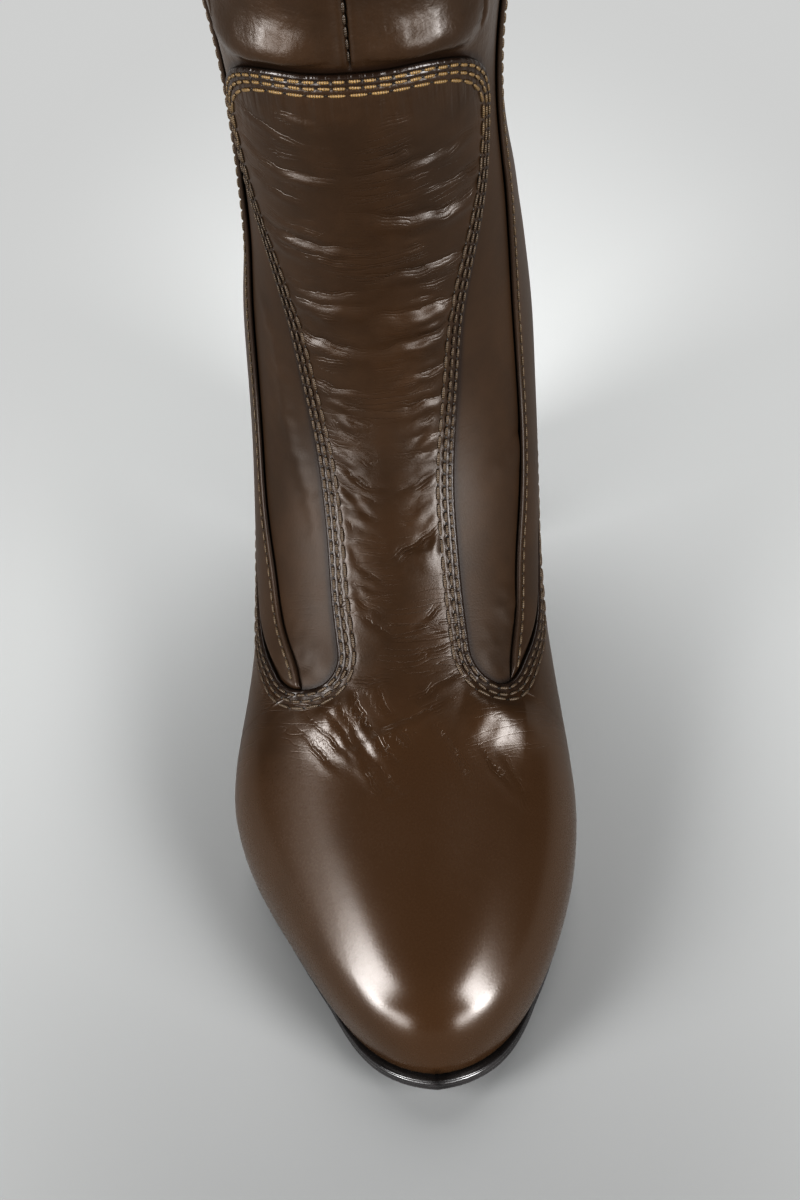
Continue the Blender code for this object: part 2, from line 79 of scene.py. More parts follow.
HEEL_SEAT_INSET = 1.0
HEEL_FLARE = 1.8        # how late the heel widens towards its seat
INSOLE_INSET = 3.8
WINDOW_FRONT = 93.4
WINDOW_ROUND = 9.0
WINDOW_WIDTH = 24.5
PANEL_TOP = 331.5
PANEL_CORNER = (24.0, 26.0)     # height and width of the rounded top corners
TIP_WIDTH = 2.0         # of the shaft back's lower tip
TUCK = 2.2              # how far the shaft back reaches under the galosh
GALOSH = [  # percent of the length, percent of the instep: the galosh's height over the sole
    (38.5, 60.0), (41.3, 61.0), (43.3, 59.0), (47.5, 51.5), (51.7, 44.0), (58.3, 38.0),
    (70.8, 36.0), (83.3, 37.0), (97.0, 41.0)]
Section = namedtuple(
    "Section", "name top_along end_along top_high end_high ridge lateral medial panel seam"
    " belly top_power end_power")
FOOT = [  # heights over the sole's underside, in percent of INSTEP
    Section("toe", 2.3, 2.3, 29.0, -9.0, 4.8, 45.5, 45.5, 19.5, 33.0, 0.46, 2.20, 2.60),
    Section("cap", 17.9, 17.9, 54.5, -10.5, 3.5, 47.0, 44.0, 19.5, 33.0, 0.48, 2.15, 2.60),
    Section("ball", 34.2, 34.2, 71.8, -16.5, 1.4, 54.2, 45.6, 19.5, 33.0, 0.49, 2.10, 2.60),
    Section("waist", 40.4, 42.5, 82.4, -15.3, 0.4, 50.8, 44.6, 19.5, 33.0, 0.50, 2.00, 2.50),
    Section("low_instep", 45.4, 51.7, 88.8, -18.6, -1.0, 45.4, 43.4, 19.6, 38.5, 0.50, 1.95, 2.40),
    Section("instep", 49.6, 60.8, 93.3, -18.3, -1.6, 42.8, 42.2, 19.5, 42.0, 0.50, 1.90, 2.30),
    Section("throat", 52.9, 70.8, 98.9, -14.1, -2.0, 41.4, 42.8, 19.6, 45.5, 0.49, 1.90, 2.30),
    Section("bend", 55.2, 81.2, 108.5, -12.6, -2.0, 40.9, 43.3, 20.8, 48.5, 0.48, 1.95, 2.30),
    Section("heel_low", 56.5, 90.0, 120.8, -8.5, -2.0, 40.8, 43.4, 22.7, 50.5, 0.47, 2.00, 2.25),
    Section("heel_seat", 57.0, 96.5, 134.8, 4.4, -2.0, 40.4, 43.3, 24.4, 51.0, 0.46, 2.05, 2.20)]
LEG = [  # heights over HEEL_HEIGHT, in percent of SHAFT_HEIGHT
    Section("heel_back", 57.2, 98.3, 20.2, 6.6, -2.0, 38.9, 42.4, 26.2, 51.0, 0.46, 2.10, 2.10),
    Section("counter", 57.1, 97.7, 23.6, 12.4, -2.0, 36.2, 40.9, 29.4, 51.5, 0.46, 2.20, 2.00),
    Section("ankle", 56.7, 94.8, 28.0, 19.9, -2.0, 34.0, 38.9, 34.8, 52.0, 0.46, 2.30, 1.95),
    Section("neck", 56.0, 91.7, 33.1, 28.0, -2.0, 33.1, 36.4, 40.6, 53.5, 0.46, 2.40, 1.95),
    Section("shin", 55.4, 90.2, 38.6, 36.4, -2.0, 33.6, 36.9, 42.8, 55.0, 0.47, 2.40, 2.00),
    Section("low_calf", 54.8, 91.2, 45.3, 44.8, -1.8, 37.4, 41.0, 44.5, 58.0, 0.48, 2.30, 2.00),
    Section("calf", 53.5, 95.0, 55.9, 55.9, -1.0, 45.7, 47.7, 45.0, 66.0, 0.49, 2.15, 2.00),
    Section("high_calf", 52.3, 98.8, 69.3, 69.3, -0.4, 53.8, 54.6, 45.0, 75.0, 0.50, 2.05, 2.00),
    Section("top_calf", 51.5, 100.8, 83.8, 83.8, 0.0, 59.4, 59.4, 45.0, 81.5, 0.50, 2.00, 2.00),
    Section("collar", 51.0, 101.2, 100.0, 100.0, 0.0, 61.7, 61.7, 45.0, 85.5, 0.50, 2.00, 2.00)]

# How finely the surface is sampled
CURVE_SAMPLES = 600
SLOPE_ACROSS = 0.6
SLOPE_ALONG = 0.4
EDGE_STEP = 0.25
WELD = 0.00002
FAR = 1e3               # a distance past any on the boot

# Layers over the upper's outer face
OVERLAY_FACE = 1.4      # outer face of what is sewn over the upper
OVERLAY_BED = 0.15      # its inner face
OVERLAY_DEEP = 2.5      # thickness that a full weight stands for
THIN_VAMP = 0.10        # least weights of the vamp and of the shaft's back
THIN_BACK = 0.06
EDGE_ROUND = 0.9
EDGE_LOW = 0.55         # height of the overlay's edge
HEM_LIFT = 0.35         # vamp's lower edge over the sole
HEM_ROUND = 1.2
HEM_TURN = 0.9
BAND = 7.0              # finely cut strip along the vamp's sewn edge
SIDE_BAND = 5.0         # and along a side seam
UPPER_THICK = 1.1
LINING_THICK = 0.8
LINING_DEEP = 1.35      # lining's face under the upper's
LINING_TURN = 0.5       # how far it comes out again at the collar
COLLAR_ROUND = 2.2      # height and depth of the leather's turn at the collar
COLLAR_TURN = 1.2
CREASE_CALM = (2.5, 5.0)        # distance from a sewn edge at which creases start, and their run-in
LINE_CALM = (4.5, 3.0)          # the same for hairlines
OPEN_LEATHER = (0.6, 3.0)       # the same for the upper's folds

# Closed seams of the shaft's front: depth and width of the groove, puff of the leather beside it
CENTRE_GROOVE = (0.9, 0.40, 0.40)
CORNER_GROOVE = (0.7, 0.45, 0.35)
PUFF_AT = 1.5
PUFF_WIDE = 1.2
CORNER_START = 34.0     # half the distance between the corner seams at the panel's top
CORNER_SPREAD = 0.55    # how they follow the side seams above it
NEAR_CENTRE = np.array([0, .3, .55, .72, .86, 1.0, 1.14, 1.28, 1.5, 1.9, 2.6, 3.8, 5.6])
BESIDE_SEAM = np.array([0, .35, .8, 1.4])
FULL_BORDER = 17.5      # half width from which those columns keep their spacing

# Stitching along the vamp's edge: rows at these distances, and their pitch
STITCH_ROWS = ((1.5, 3.3), (3.2, 3.3), (5.0, 4.6))
SIDE_ROW = (2.0, 3.3)
CENTRE_SEAM = 1.0       # where the seam of the shaft front runs
CENTRE_PITCH = 3.0
COLLAR_ROW = (3.5, 3.3)
SEAM_CLEAR = 2.0        # between the collar's row and a side seam
GROOVE = 0.34           # depth of the bed of a row, and of the last row before the open leather
LAST_GROOVE = 0.14
GROOVE_WIDE = 0.6
PUFF = 0.10             # leather raised between two rows
STITCHES_AT_ONCE = 24
HOLE = 0.52             # half a needle hole along the seam, as a share of the thread: a dark bead of painted shade
STITCH_LIFT = 0.12      # of the thread over the leather, as a share of its thickness
THREAD_HIGHLIGHT_END = 60.0         # distance along the edge at which the painted highlight has faded to bronze
THREAD_HIGHLIGHT_FADE = 35.0
SIDE_TONE = 0.15        # tones: 1 is the painted golden highlight, 0 is bronze, and below that painted shade darkens it; the side seams carry a little highlight
SUNK_SHADE_TONE = -0.4        # painted shade on the thread sunk in the centre seam
HOLE_SHADE_TONE = -1.0


def spline(xs, ys, start_slope=None):
    """A cubic through the points, with free ends or a given slope at its start."""
    xs, ys = np.asarray(xs, float), np.asarray(ys, float)
    count, span = len(xs), np.diff(xs)
    system, right_side = np.zeros((count, count)), np.zeros(count)
    system[0, 0] = system[-1, -1] = 1.0
    if start_slope is not None:
        system[0, :2] = 2 * span[0], span[0]
        right_side[0] = 6 * ((ys[1] - ys[0]) / span[0] - start_slope)
    for i in range(1, count - 1):
        system[i, i - 1:i + 2] = span[i - 1], 2 * (span[i - 1] + span[i]), span[i]
        right_side[i] = 6 * ((ys[i + 1] - ys[i]) / span[i] - (ys[i] - ys[i - 1]) / span[i - 1])
    bend = np.linalg.solve(system, right_side)

    def value(x):
        x = np.asarray(x, float)
        i = np.clip(np.searchsorted(xs, x) - 1, 0, count - 2)
        a, b, w = xs[i + 1] - x, x - xs[i], span[i]
        cubic = (bend[i] * a ** 3 + bend[i + 1] * b ** 3) / (6 * w)
        return cubic + (ys[i] / w - bend[i] * w / 6) * a + (ys[i + 1] / w - bend[i + 1] * w / 6) * b
    return value


def column(table, index):
    return [row[index] for row in table]


def bell(x):
    return np.exp(-x * x)


def smooth(x):
    """0 below 0, 1 above 1, eased between."""
    x = np.clip(x, 0, 1)
    return x * x * (3 - 2 * x)


def arc(x):
    """A quarter round: 0 below 0, 1 from 1 on, and steepest there."""
    return 1 - np.sqrt(1 - np.clip(x, 0, 1) ** 2)


shank_rise = spline(
    np.array(column(SHANK, 0)) * LENGTH / 100, np.array(column(SHANK, 1)) * HEEL_HEIGHT / 100, 0.0)
TREAD_BACK, SHANK_END = [SHANK[i][0] * LENGTH / 100 for i in (0, -1)]


def sole_under(along):
    """Height of the sole's underside: toe spring, flat tread, then the shank up to the heel seat."""
    along = np.asarray(along, float)
    spring = TOE_SPRING * (np.clip(TREAD_FRONT - along, 0, None) / TREAD_FRONT) ** 2
    step = 0.05
    slope = (shank_rise(SHANK_END) - shank_rise(SHANK_END - step)) / step
    rise = shank_rise(np.clip(along, TREAD_BACK, SHANK_END))
    rise = rise + slope * np.clip(along - SHANK_END, 0, None)
    return np.where(along > TREAD_BACK, rise, spring)


def sole_top(along):
    return sole_under(along) + np.interp(along, column(SOLE_PLAN, 0), column(SOLE_PLAN, 1))


def sole_ledge(along):
    return np.interp(along, column(SOLE_PLAN, 0), column(SOLE_PLAN, 2))


galosh_curve = spline(np.array(column(GALOSH, 0)) * LENGTH / 100,
                      np.array(column(GALOSH, 1)) * INSTEP / 100)


def galosh_rise(along):
    """Height of the galosh's upper edge over the sole."""
    ends = [GALOSH[i][0] * LENGTH / 100 for i in (0, -1)]
    return galosh_curve(np.clip(along, *ends))


def in_millimetres(row, in_leg):
    """A row of the tables with its percentages worked out."""
    top, end = row.top_along * LENGTH / 100, row.end_along * LENGTH / 100
    if in_leg:
        high = [HEEL_HEIGHT + share * SHAFT_HEIGHT / 100 for share in (row.top_high, row.end_high)]
    else:
        high = [float(sole_under(at)) + share * INSTEP / 100
                for at, share in ((top, row.top_high), (end, row.end_high))]
    across = {name: getattr(row, name) * BALL_WIDTH / 100
              for name in ("ridge", "lateral", "medial", "panel", "seam")}
    return row._replace(top_along=top, end_along=end, top_high=high[0], end_high=high[1], **across)


SECTIONS = [in_millimetres(row, False) for row in FOOT] + [in_millimetres(row, True) for row in LEG]


def step_between(a, b):
    ridge = math.hypot(b.top_along - a.top_along, b.top_high - a.top_high)
    far = math.hypot(b.end_along - a.end_along, b.end_high - a.end_high)
    return (ridge + far) / 2


# A station is the distance along the boot, from the nose to the collar
STATIONS = np.cumsum([0.0] + [step_between(a, b) for a, b in zip(SECTIONS, SECTIONS[1:])])
STATION = {row.name: float(at) for row, at in zip(SECTIONS, STATIONS)}
NOSE, BALL = [row.top_along for row in SECTIONS if row.name in ("toe", "ball")]
COLLAR = STATION["collar"]
COLUMNS = {name: spline(STATIONS, [getattr(row, name) for row in SECTIONS])
           for name in Section._fields[1:]}


def section_rows(stations):
    """The sections at some stations, drawn in to the nose in front of the ball."""
    row = {name: curve(stations)[:, None] for name, curve in COLUMNS.items()}
    reach = np.clip((BALL - row["top_along"]) / (BALL - NOSE), 0, 1)
    for side in ("lateral", "medial"):
        row[side] = row[side] * (1 - reach ** 2) ** (1 / TOE_FULLNESS)
    drop = SECTIONS[0].top_high - float(sole_top(NOSE)) - GAP
    row["top_high"] = row["top_high"] - np.where(
        reach > 0, drop * np.exp(-(row["top_along"] - NOSE) / NOSE_ROUND), 0)
    return row


def half_sections(stations, side):
    """Points of one half of some sections, ridge first, and each point's distance over the leather."""
    row = section_rows(np.asarray(stations, float))
    angle = np.linspace(0, math.pi, CURVE_SAMPLES)[None, :]
    upper = angle <= math.pi / 2
    power = 2 / np.where(upper, row["top_power"], row["end_power"])
    width = row["lateral"] if side < 0 else row["medial"]
    reach = np.abs(np.cos(angle)) ** power
    share = np.where(upper, row["belly"] * (1 - reach), row["belly"] + (1 - row["belly"]) * reach)
    points = np.stack([
        row["ridge"] + side * width * np.abs(np.sin(angle)) ** power,
        row["top_along"] + (row["end_along"] - row["top_along"]) * share,
        row["top_high"] + (row["end_high"] - row["top_high"]) * share], axis=2)
    steps = np.linalg.norm(np.diff(points, axis=1), axis=2)
    run = np.concatenate([np.zeros((len(points), 1)), np.cumsum(steps, axis=1)], axis=1)
    return points, run


def surface(stations, distances):
    """Points of the upper's outer face: a row for each station, at signed distances from the ridge."""
    stations, distances = np.asarray(stations, float), np.asarray(distances, float)
    found = np.empty(distances.shape + (3,))
    for side in (-1, 1):
        points, run = half_sections(stations, side)
        for i in range(len(stations)):
            here = distances[i] < 0 if side < 0 else distances[i] >= 0
            for axis in range(3):
                found[i, here, axis] = np.interp(
                    np.abs(distances[i, here]), run[i], points[i, :, axis])
    return found


def outward(stations, distances):
    """Unit normals of that face."""
    stations, distances = np.asarray(stations, float), np.asarray(distances, float)
    across = (surface(stations, distances + SLOPE_ACROSS)
              - surface(stations, distances - SLOPE_ACROSS))
    along = (surface(np.minimum(stations + SLOPE_ALONG, COLLAR), distances)
             - surface(np.maximum(stations - SLOPE_ALONG, 0), distances))
    normal = np.cross(across, along)
    ends = np.stack([half_sections(stations, side)[1][:, -1] for side in (-1, 1)], axis=1)
    at_back = np.where(distances < 0, ends[:, :1], ends[:, 1:]) - np.abs(distances) < 0.01
    normal[at_back | (distances == 0), 0] = 0.0
    normal[stations <= 0.0] = NOSE_NORMAL
    return normal / np.maximum(np.linalg.norm(normal, axis=2, keepdims=True), 1e-9)


def drop_distances(stations, side, rise):
    """Distance from the ridge at which each half section comes down to a height over the sole."""
    points, run = half_sections(stations, side)
    over = points[..., 2] - sole_top(points[..., 1]) - rise(points[..., 1])
    below = over <= 0
    rows = np.arange(len(run))
    first = np.argmax(below, axis=1)
    before = np.maximum(first - 1, 0)
    fall = over[rows, before] - over[rows, first]
    share = np.where(fall > 0, over[rows, before] / np.where(fall > 0, fall, 1), 0)
    found = run[rows, before] + (run[rows, first] - run[rows, before]) * share
    return np.where(below.any(axis=1), found, run[:, -1])


def feather(stations, side, lift=GAP):
    """Distance from the ridge to the upper's lower edge, or to the middle of its back."""
    return np.maximum(drop_distances(stations, side, lambda along: 0 * along + lift), 1e-6)


def window_opening(stations):
    """Share of the window's width that is open, over its round front end."""
    return 1 - arc(1 - (stations - WINDOW_FRONT) / WINDOW_ROUND)


def panel_line(stations):
    """Half width of the shin panel over the leather, widened round the window's end."""
    straight = COLUMNS["panel"](stations)
    return straight + (WINDOW_WIDTH - straight) * (1 - window_opening(stations))


def panel_edge(stations):
    """The panel's half width with the rounded corners of its top."""
    high, wide = PANEL_CORNER
    return panel_line(stations) - wide * arc((stations - PANEL_TOP + high) / high)


def kept_level(line, stations, side):
    """A line's distances, at one share of the half section in front of the window."""
    at = np.maximum(stations, WINDOW_FRONT)
    share = np.minimum(1.0, line(at) / feather(at, side))
    return share * feather(stations, side)


def galosh_line(stations, side, lift=0.0):
    """Distance from the ridge to the galosh's upper edge, raised by a lift."""
    straight = drop_distances(stations, side, lambda along: galosh_rise(along) + lift)
    edge = straight - (straight - WINDOW_WIDTH) * (1 - window_opening(stations))
    return np.minimum(edge, feather(stations, side))


def corner_line(stations):
    """Columns' border: the panel's edge below its top, and the corner seams above it."""
    above = CORNER_START + CORNER_SPREAD * (COLUMNS["seam"](stations) - COLUMNS["seam"](PANEL_TOP))
    blend = smooth((stations - PANEL_TOP + 26.0) / 24.0)
    return panel_line(stations) + (above - panel_line(stations)) * blend


def find_station(low, high, is_past):
    """Station between two at which a test turns true."""
    for _ in range(40):
        middle = (low + high) / 2
        low, high = (low, middle) if is_past(middle) else (middle, high)
    return high


def end_over_sole(station):
    """Height of a section's far end over the sole."""
    row = section_rows(np.array([station]))
    return float(row["end_high"][0, 0] - sole_top(row["end_along"][0, 0]))


def galosh_closing(lift):
    """Station at which the galosh's edge, raised by a lift, meets itself behind the heel."""
    def is_past(at):
        end = section_rows(np.array([at]))["end_along"][0, 0]
        return end_over_sole(at) > float(galosh_rise(end)) + lift
    return find_station(STATION["heel_seat"], STATION["ankle"], is_past)


CLOSING = find_station(STATION["heel_low"], STATION["heel_back"], lambda at: end_over_sole(at) > GAP)
GALOSH_CLOSING = galosh_closing(0.0)


def even(start, stop, step):
    """Stations about a step apart from start to stop, which is left out."""
    return list(np.linspace(start, stop, max(2, round((stop - start) / step) + 1))[:-1])


def crowded(start, stop, count, power=2.0):
    """Stations that crowd towards stop, which is left out."""
    return [stop - (stop - start) * (1 - i / count) ** power for i in range(count)]


NOSE_ROWS = [9.0 * (i / 7) ** 2 for i in range(7)]
FRONT_ROWS = NOSE_ROWS + even(9.0, 55.0, 1.6) + even(55.0, WINDOW_FRONT, 1.0)
WINDOW_ROWS = [WINDOW_FRONT + WINDOW_ROUND * (i / 14) ** 2 for i in range(14)]
PANEL_ROWS = np.array(
    FRONT_ROWS + WINDOW_ROWS + even(WINDOW_FRONT + WINDOW_ROUND, PANEL_TOP - PANEL_CORNER[0], 0.85)
    + crowded(PANEL_TOP - PANEL_CORNER[0], PANEL_TOP, 44, 1.45) + [PANEL_TOP])
GALOSH_ROWS = np.array(
    FRONT_ROWS + WINDOW_ROWS + even(WINDOW_FRONT + WINDOW_ROUND, GALOSH_CLOSING - 22.0, 0.85)
    + crowded(GALOSH_CLOSING - 22.0, GALOSH_CLOSING, 32, 1.5) + [GALOSH_CLOSING])
UPPER_ROWS = np.array(
    NOSE_ROWS + even(9.0, WINDOW_FRONT, 3.0) + even(WINDOW_FRONT, PANEL_TOP - 1, 1.2)
    + even(PANEL_TOP - 1, PANEL_TOP + 16, 0.8) + even(PANEL_TOP + 16, COLLAR - 3, 1.9)
    + crowded(COLLAR - 3, COLLAR, 8, 1.6) + [COLLAR])


# Creases, listed as stations and distances from the ridge along each. A trough has a width and a
# depth and throws up a lip on its toe side; a ridge has a negative depth.
VAMP_CREASES = [
    ([(321, -33), (314, -20), (309, -8)], 0.9, 0.22), ([(303, -27), (299, -15), (297, -3)], 0.9, 0.24),
    ([(297, -2), (300, 9), (305, 30)], 0.9, 0.24), ([(290, 14), (291, 26), (294, 36)], 1.0, 0.30),
    ([(283, 0), (280, 12), (281, 22), (286, 34)], 1.3, 0.50),
    ([(277, -33), (273, -20), (270, -10), (268, 1)], 1.2, 0.50),
    ([(272, -29), (267, -16), (263, 0)], 1.0, 0.30), ([(255, 1), (258, 13), (262, 28)], 1.1, 0.36),
    ([(254, -27), (249, -15), (250, -1)], 1.1, 0.34), ([(239, 0), (240, 11), (246, 26)], 1.4, 0.50),
    ([(224, 0), (228, 11), (235, 24)], 1.5, 0.54), ([(249, -26), (245, -14), (243, -1)], 1.1, 0.40),
    ([(237, -24), (228, -13), (223, -1)], 1.3, 0.54), ([(197, 0), (201, 12), (207, 22)], 1.1, 0.34),
    ([(214, -20), (208, -11), (206, -3)], 0.9, 0.24), ([(209, 3), (213, 12), (218, 22)], 0.9, 0.26),
    ([(189, -17), (183, -11), (179, -5)], 0.8, 0.14),
    ([(182, -17), (172, -9), (165, -3), (164, 2)], 0.9, 0.22),
    ([(173, -16), (163, -8), (159, -2)], 0.8, 0.17), ([(162, -15), (155, -8), (151, -2)], 0.8, 0.15),
    ([(184, 2), (186, 10), (189, 18)], 0.8, 0.15), ([(179, 1), (179, 9), (183, 18)], 0.8, 0.14),
    ([(162, 2), (167, 9), (176, 18)], 0.9, 0.22), ([(132, -2), (141, 7), (152, 16)], 1.1, 0.36),
    ([(129, 3), (134, 8), (142, 14)], 3.0, -0.5), ([(110, 1), (107, 9), (107, 17)], 0.8, 0.14),
    ([(98, 0), (102, 10), (108, 18)], 0.8, 0.13), ([(149, -16), (143, -9), (140, -2)], 0.8, 0.14),
    ([(130, -16), (124, -9), (120, -2)], 0.8, 0.13), ([(89, -23), (75, -15), (60, -7)], 0.9, 0.28),
    ([(90, -19), (73, -12), (61, -4)], 0.8, 0.24), ([(87, -28), (76, -19), (68, -13)], 0.8, 0.20),
    ([(91, -15), (78, -10), (68, -3)], 0.8, 0.22), ([(74, -17), (79, -6), (81, 0), (86, 10)], 0.8, 0.18),
    ([(85, -31), (75, -24), (68, -19)], 0.8, 0.14), ([(91, -8), (83, -5), (72, 1)], 0.8, 0.14),
    ([(93, -16), (92, -3)], 0.8, 0.13), ([(84, -1), (93, 12), (99, 20)], 0.8, 0.12),
    ([(80, 6), (72, 11), (64, 14)], 0.8, 0.10), ([(87, 14), (84, 25), (80, 36)], 6.5, -2.4),
    ([(78, 15), (70, 20), (62, 28)], 0.8, 0.12), ([(74, 22), (66, 27), (58, 31)], 0.8, 0.10),
    ([(87, -13), (84, -20), (80, -28)], 4.5, -1.0), ([(80, -8), (70, -7)], 4.0, -0.4),
    ([(246, -24), (240, -12), (239, 0)], 3.6, -0.5), ([(229, 0), (234, 12), (240, 24)], 4.4, -0.9)]
UPPER_CREASES = [
    ([(116, -34), (106, -26), (96, -21)], 3.4, -0.3), ([(108, -32), (99, -26), (94, -22)], 2.0, 0.18),
    ([(112, 27), (102, 23), (95, 23)], 2.4, -0.25), ([(106, 31), (99, 28), (94, 27)], 1.8, 0.16),
    ([(130, 35), (114, 31)], 3.0, -0.5),
    ([(246, -44), (226, -33), (200, -30), (185, -28), (167, -23), (150, -21), (138, -20)], 2.4, -0.55),
    ([(190, 54), (180, 40), (170, 29)], 2.2, 0.3),
    ([(335, -36), (337, -19), (335, -3)], 6.0, -3.2), ([(335, 4), (337, 17), (335, 34)], 6.0, -3.2),
    ([(364, -24), (372, -8), (368, 6)], 9.0, 0.7), ([(356, 10), (362, 22)], 6.0, 0.6)]
BACK_CREASES = [
    ([(262, -70), (268, -88), (266, -106)], 5.0, 0.8), ([(262, 70), (268, 88), (266, 106)], 5.0, 0.8),
    ([(284, -64), (290, -84), (287, -100)], 6.0, 0.7), ([(284, 66), (291, 86), (288, 102)], 6.0, 0.7)]
FINE_CREASES = 90
FINE_SEED = 11
FINE_SPAN = (104, 322)
FINE_MARGIN = 6.0       # kept free along the panel's edge
LINE_REACH = 3.2        # how far hairlines spread from a crease
LINE_FAR = 50.0
FULL_LINE = 0.22        # depth from which a crease carries its full hairlines
LIP = 1.0               # height of the lip on a trough's toe side, as a share of its depth
WOBBLE = 0.22           # how far a crease wanders from its path, as a share of its width


def crease_height(points, creases):
    """Height added to points of the surface by a list of creases, and for the material the signed
    distance to the nearest crease line and how strong that line is there."""
    flat = points.reshape(-1, 3)
    total = np.zeros(len(flat))
    nearest = np.full(len(flat), LINE_FAR)
    strength = np.zeros(len(flat))
    rival = np.zeros(len(flat))
    for path, width, depth in creases:
        path = np.array(path, float)
        share = np.concatenate([[0], np.cumsum(np.hypot(*np.diff(path, axis=0).T))])
        fine = np.linspace(0, share[-1], max(8, int(share[-1] / 0.7)))
        if len(path) > 2:
            station, distance = [spline(share, path[:, i])(fine) for i in (0, 1)]
        else:
            station, distance = [np.interp(fine, share, path[:, i]) for i in (0, 1)]
        line = surface(station, distance[:, None])[:, 0]
        toward_toe = surface(station - 1.0, distance[:, None])[:, 0] - line
        reach = max(5.0 * width, 2.5 * LINE_REACH)
        middle = line.mean(axis=0)
        radius = np.linalg.norm(line - middle, axis=1).max() + reach
        near = np.nonzero(((flat - middle) ** 2).sum(axis=1) < radius ** 2)[0]
        if len(near) == 0:
            continue
        gap = flat[near][:, None, :] - line[None, :, :]
        far = np.sqrt((gap ** 2).sum(axis=2))
        best = far.argmin(axis=1)
        rows = np.arange(len(near))
        off = far[rows, best] * np.sign((gap[rows, best] * toward_toe[best]).sum(axis=1))
        taper = np.sin(math.pi * np.clip(fine[best] / share[-1], 0.02, 0.98)) ** 0.75
        phase = path[0].sum()
        sway = np.sin(fine[best] / 1.9 + phase) + np.sin(fine[best] / 1.1 - phase)
        off += WOBBLE * min(width, 2.0) * sway
        if depth > 0:
            shape = LIP * bell((off - 2.2 * width) / (1.6 * width)) - bell(off / width)
            force = min(1.0, depth / FULL_LINE) * taper * bell(off / LINE_REACH)
            stronger = force > strength[near]
            rival[near] = np.maximum(rival[near], np.where(stronger, strength[near], force))
            nearest[near[stronger]] = off[stronger]
            strength[near[stronger]] = force[stronger]
        else:
            shape = -bell(off / width)
        total[near] += depth * shape * taper
    strength *= smooth((strength - rival) / np.maximum(0.8 * strength, 1e-6))
    grid = points.shape[:2]
    fold = np.stack([nearest.reshape(grid), strength.reshape(grid), total.reshape(grid)], axis=2)
    return total.reshape(grid), fold


def fine_creases():
    """Seeded small wrinkles on the shin panel, sagging from its edges to the middle."""
    draw = np.random.default_rng(FINE_SEED)
    made = []
    for _ in range(FINE_CREASES):
        station = draw.uniform(*FINE_SPAN)
        side = draw.choice((-1, 1))
        wide = float(panel_line(np.array([station]))[0]) - FINE_MARGIN
        start, length = draw.uniform(2, wide * 0.75), draw.uniform(5, 13)
        sag = draw.uniform(0.15, 0.4) if station > 210 else draw.uniform(0.5, 1.1)
        inner = (station, side * start)
        outer = (station + sag * length, side * min(wide, start + length))
        width, deepest = draw.uniform(0.7, 1.0), 0.24 if station > 190 else 0.14
        made.append(([inner, outer], width, draw.uniform(0.08, deepest)))
    return made


class Edge:
    """A sewn edge as a fine line on the upper, from which distances are measured."""

    def __init__(self, stations, distances):
        points = surface(stations, np.asarray(distances)[:, None])[:, 0]
        normals = outward(stations, np.asarray(distances)[:, None])[:, 0]
        run = np.concatenate([[0], np.cumsum(np.linalg.norm(np.diff(points, axis=0), axis=1))])
        keep = np.concatenate([[True], np.diff(run) > 1e-6])
        self.run = np.arange(0, run[-1], EDGE_STEP)
        self.points, self.normals = [
            np.stack([np.interp(self.run, run[keep], values[keep][:, i]) for i in range(3)], axis=1)
            for values in (points, normals)]
        self.tree = KDTree(len(self.points))
        for i, point in enumerate(self.points):
            self.tree.insert(point, i)
        self.tree.balance()

    def measure(self, points):
        """Distance to the edge and place along it, for a grid of points."""
        flat = points.reshape(-1, 3)
        found = np.array([self.tree.find(point)[1] for point in flat])
        away, along = np.full(len(flat), np.inf), np.zeros(len(flat))
        for first in (np.maximum(found - 1, 0), np.minimum(found, len(self.points) - 2)):
            start, step = self.points[first], self.points[first + 1] - self.points[first]
            length = np.linalg.norm(step, axis=1)
            share = np.clip(((flat - start) * step).sum(axis=1) / length ** 2, 0, 1)
            far = np.linalg.norm(flat - start - share[:, None] * step, axis=1)
            along = np.where(far < away, self.run[first] + share * length, along)
            away = np.minimum(far, away)
        return away.reshape(points.shape[:2]), along.reshape(points.shape[:2])

    def inward_line(self, offset, inside):
        """The line at an offset from the edge, to the side on which the sign of inside says."""
        tangent = np.gradient(self.points, axis=0)
        across = np.cross(self.normals, tangent)
        across /= np.linalg.norm(across, axis=1, keepdims=True)
        return self.points + inside * offset * across


def vamp_edge(side):
    """Top middle, corner, shin panel, round end of the window, galosh, back of the heel."""
    top = PANEL_TOP - 1e-4
    half = float(panel_edge(np.array([top]))[0])
    start = np.linspace(0, half, 60)[:-1]
    down = np.concatenate([
        PANEL_TOP - PANEL_CORNER[0] * np.linspace(0, 1, 160)[1:] ** 2,
        np.linspace(PANEL_TOP - PANEL_CORNER[0], WINDOW_FRONT + WINDOW_ROUND, 900)[1:],
        WINDOW_FRONT + WINDOW_ROUND * np.linspace(1, 0, 90)[1:] ** 2])
    back = np.concatenate([
        WINDOW_FRONT + WINDOW_ROUND * np.linspace(0, 1, 90)[1:] ** 2,
        np.linspace(WINDOW_FRONT + WINDOW_ROUND, GALOSH_CLOSING - 15, 600)[1:],
        GALOSH_CLOSING - 15 * np.linspace(1, 0, 120)[1:] ** 2])
    stations = np.concatenate([np.full(len(start), top), [top], down, back])
    distances = np.concatenate([start, [half], panel_edge(down), galosh_line(back, side)])
    return Edge(stations, side * distances)


EDGES = {side: vamp_edge(side) for side in (-1, 1)}


def seam_start(side):
    """Station at which the shaft's back piece starts at the galosh."""
    return find_station(WINDOW_FRONT, STATION["instep"], lambda at: float(
        COLUMNS["seam"](at) + TIP_WIDTH - galosh_line(np.array([at]), side, -TUCK)[0]) < 0)


SEAM_START = {side: seam_start(side) for side in (-1, 1)}


def seam_edge(side):
    """A side seam, from the galosh to the collar."""
    stations = np.linspace(SEAM_START[side], COLLAR, 1200)
    return Edge(stations, side * COLUMNS["seam"](stations))


SEAM_EDGES = {side: seam_edge(side) for side in (-1, 1)}


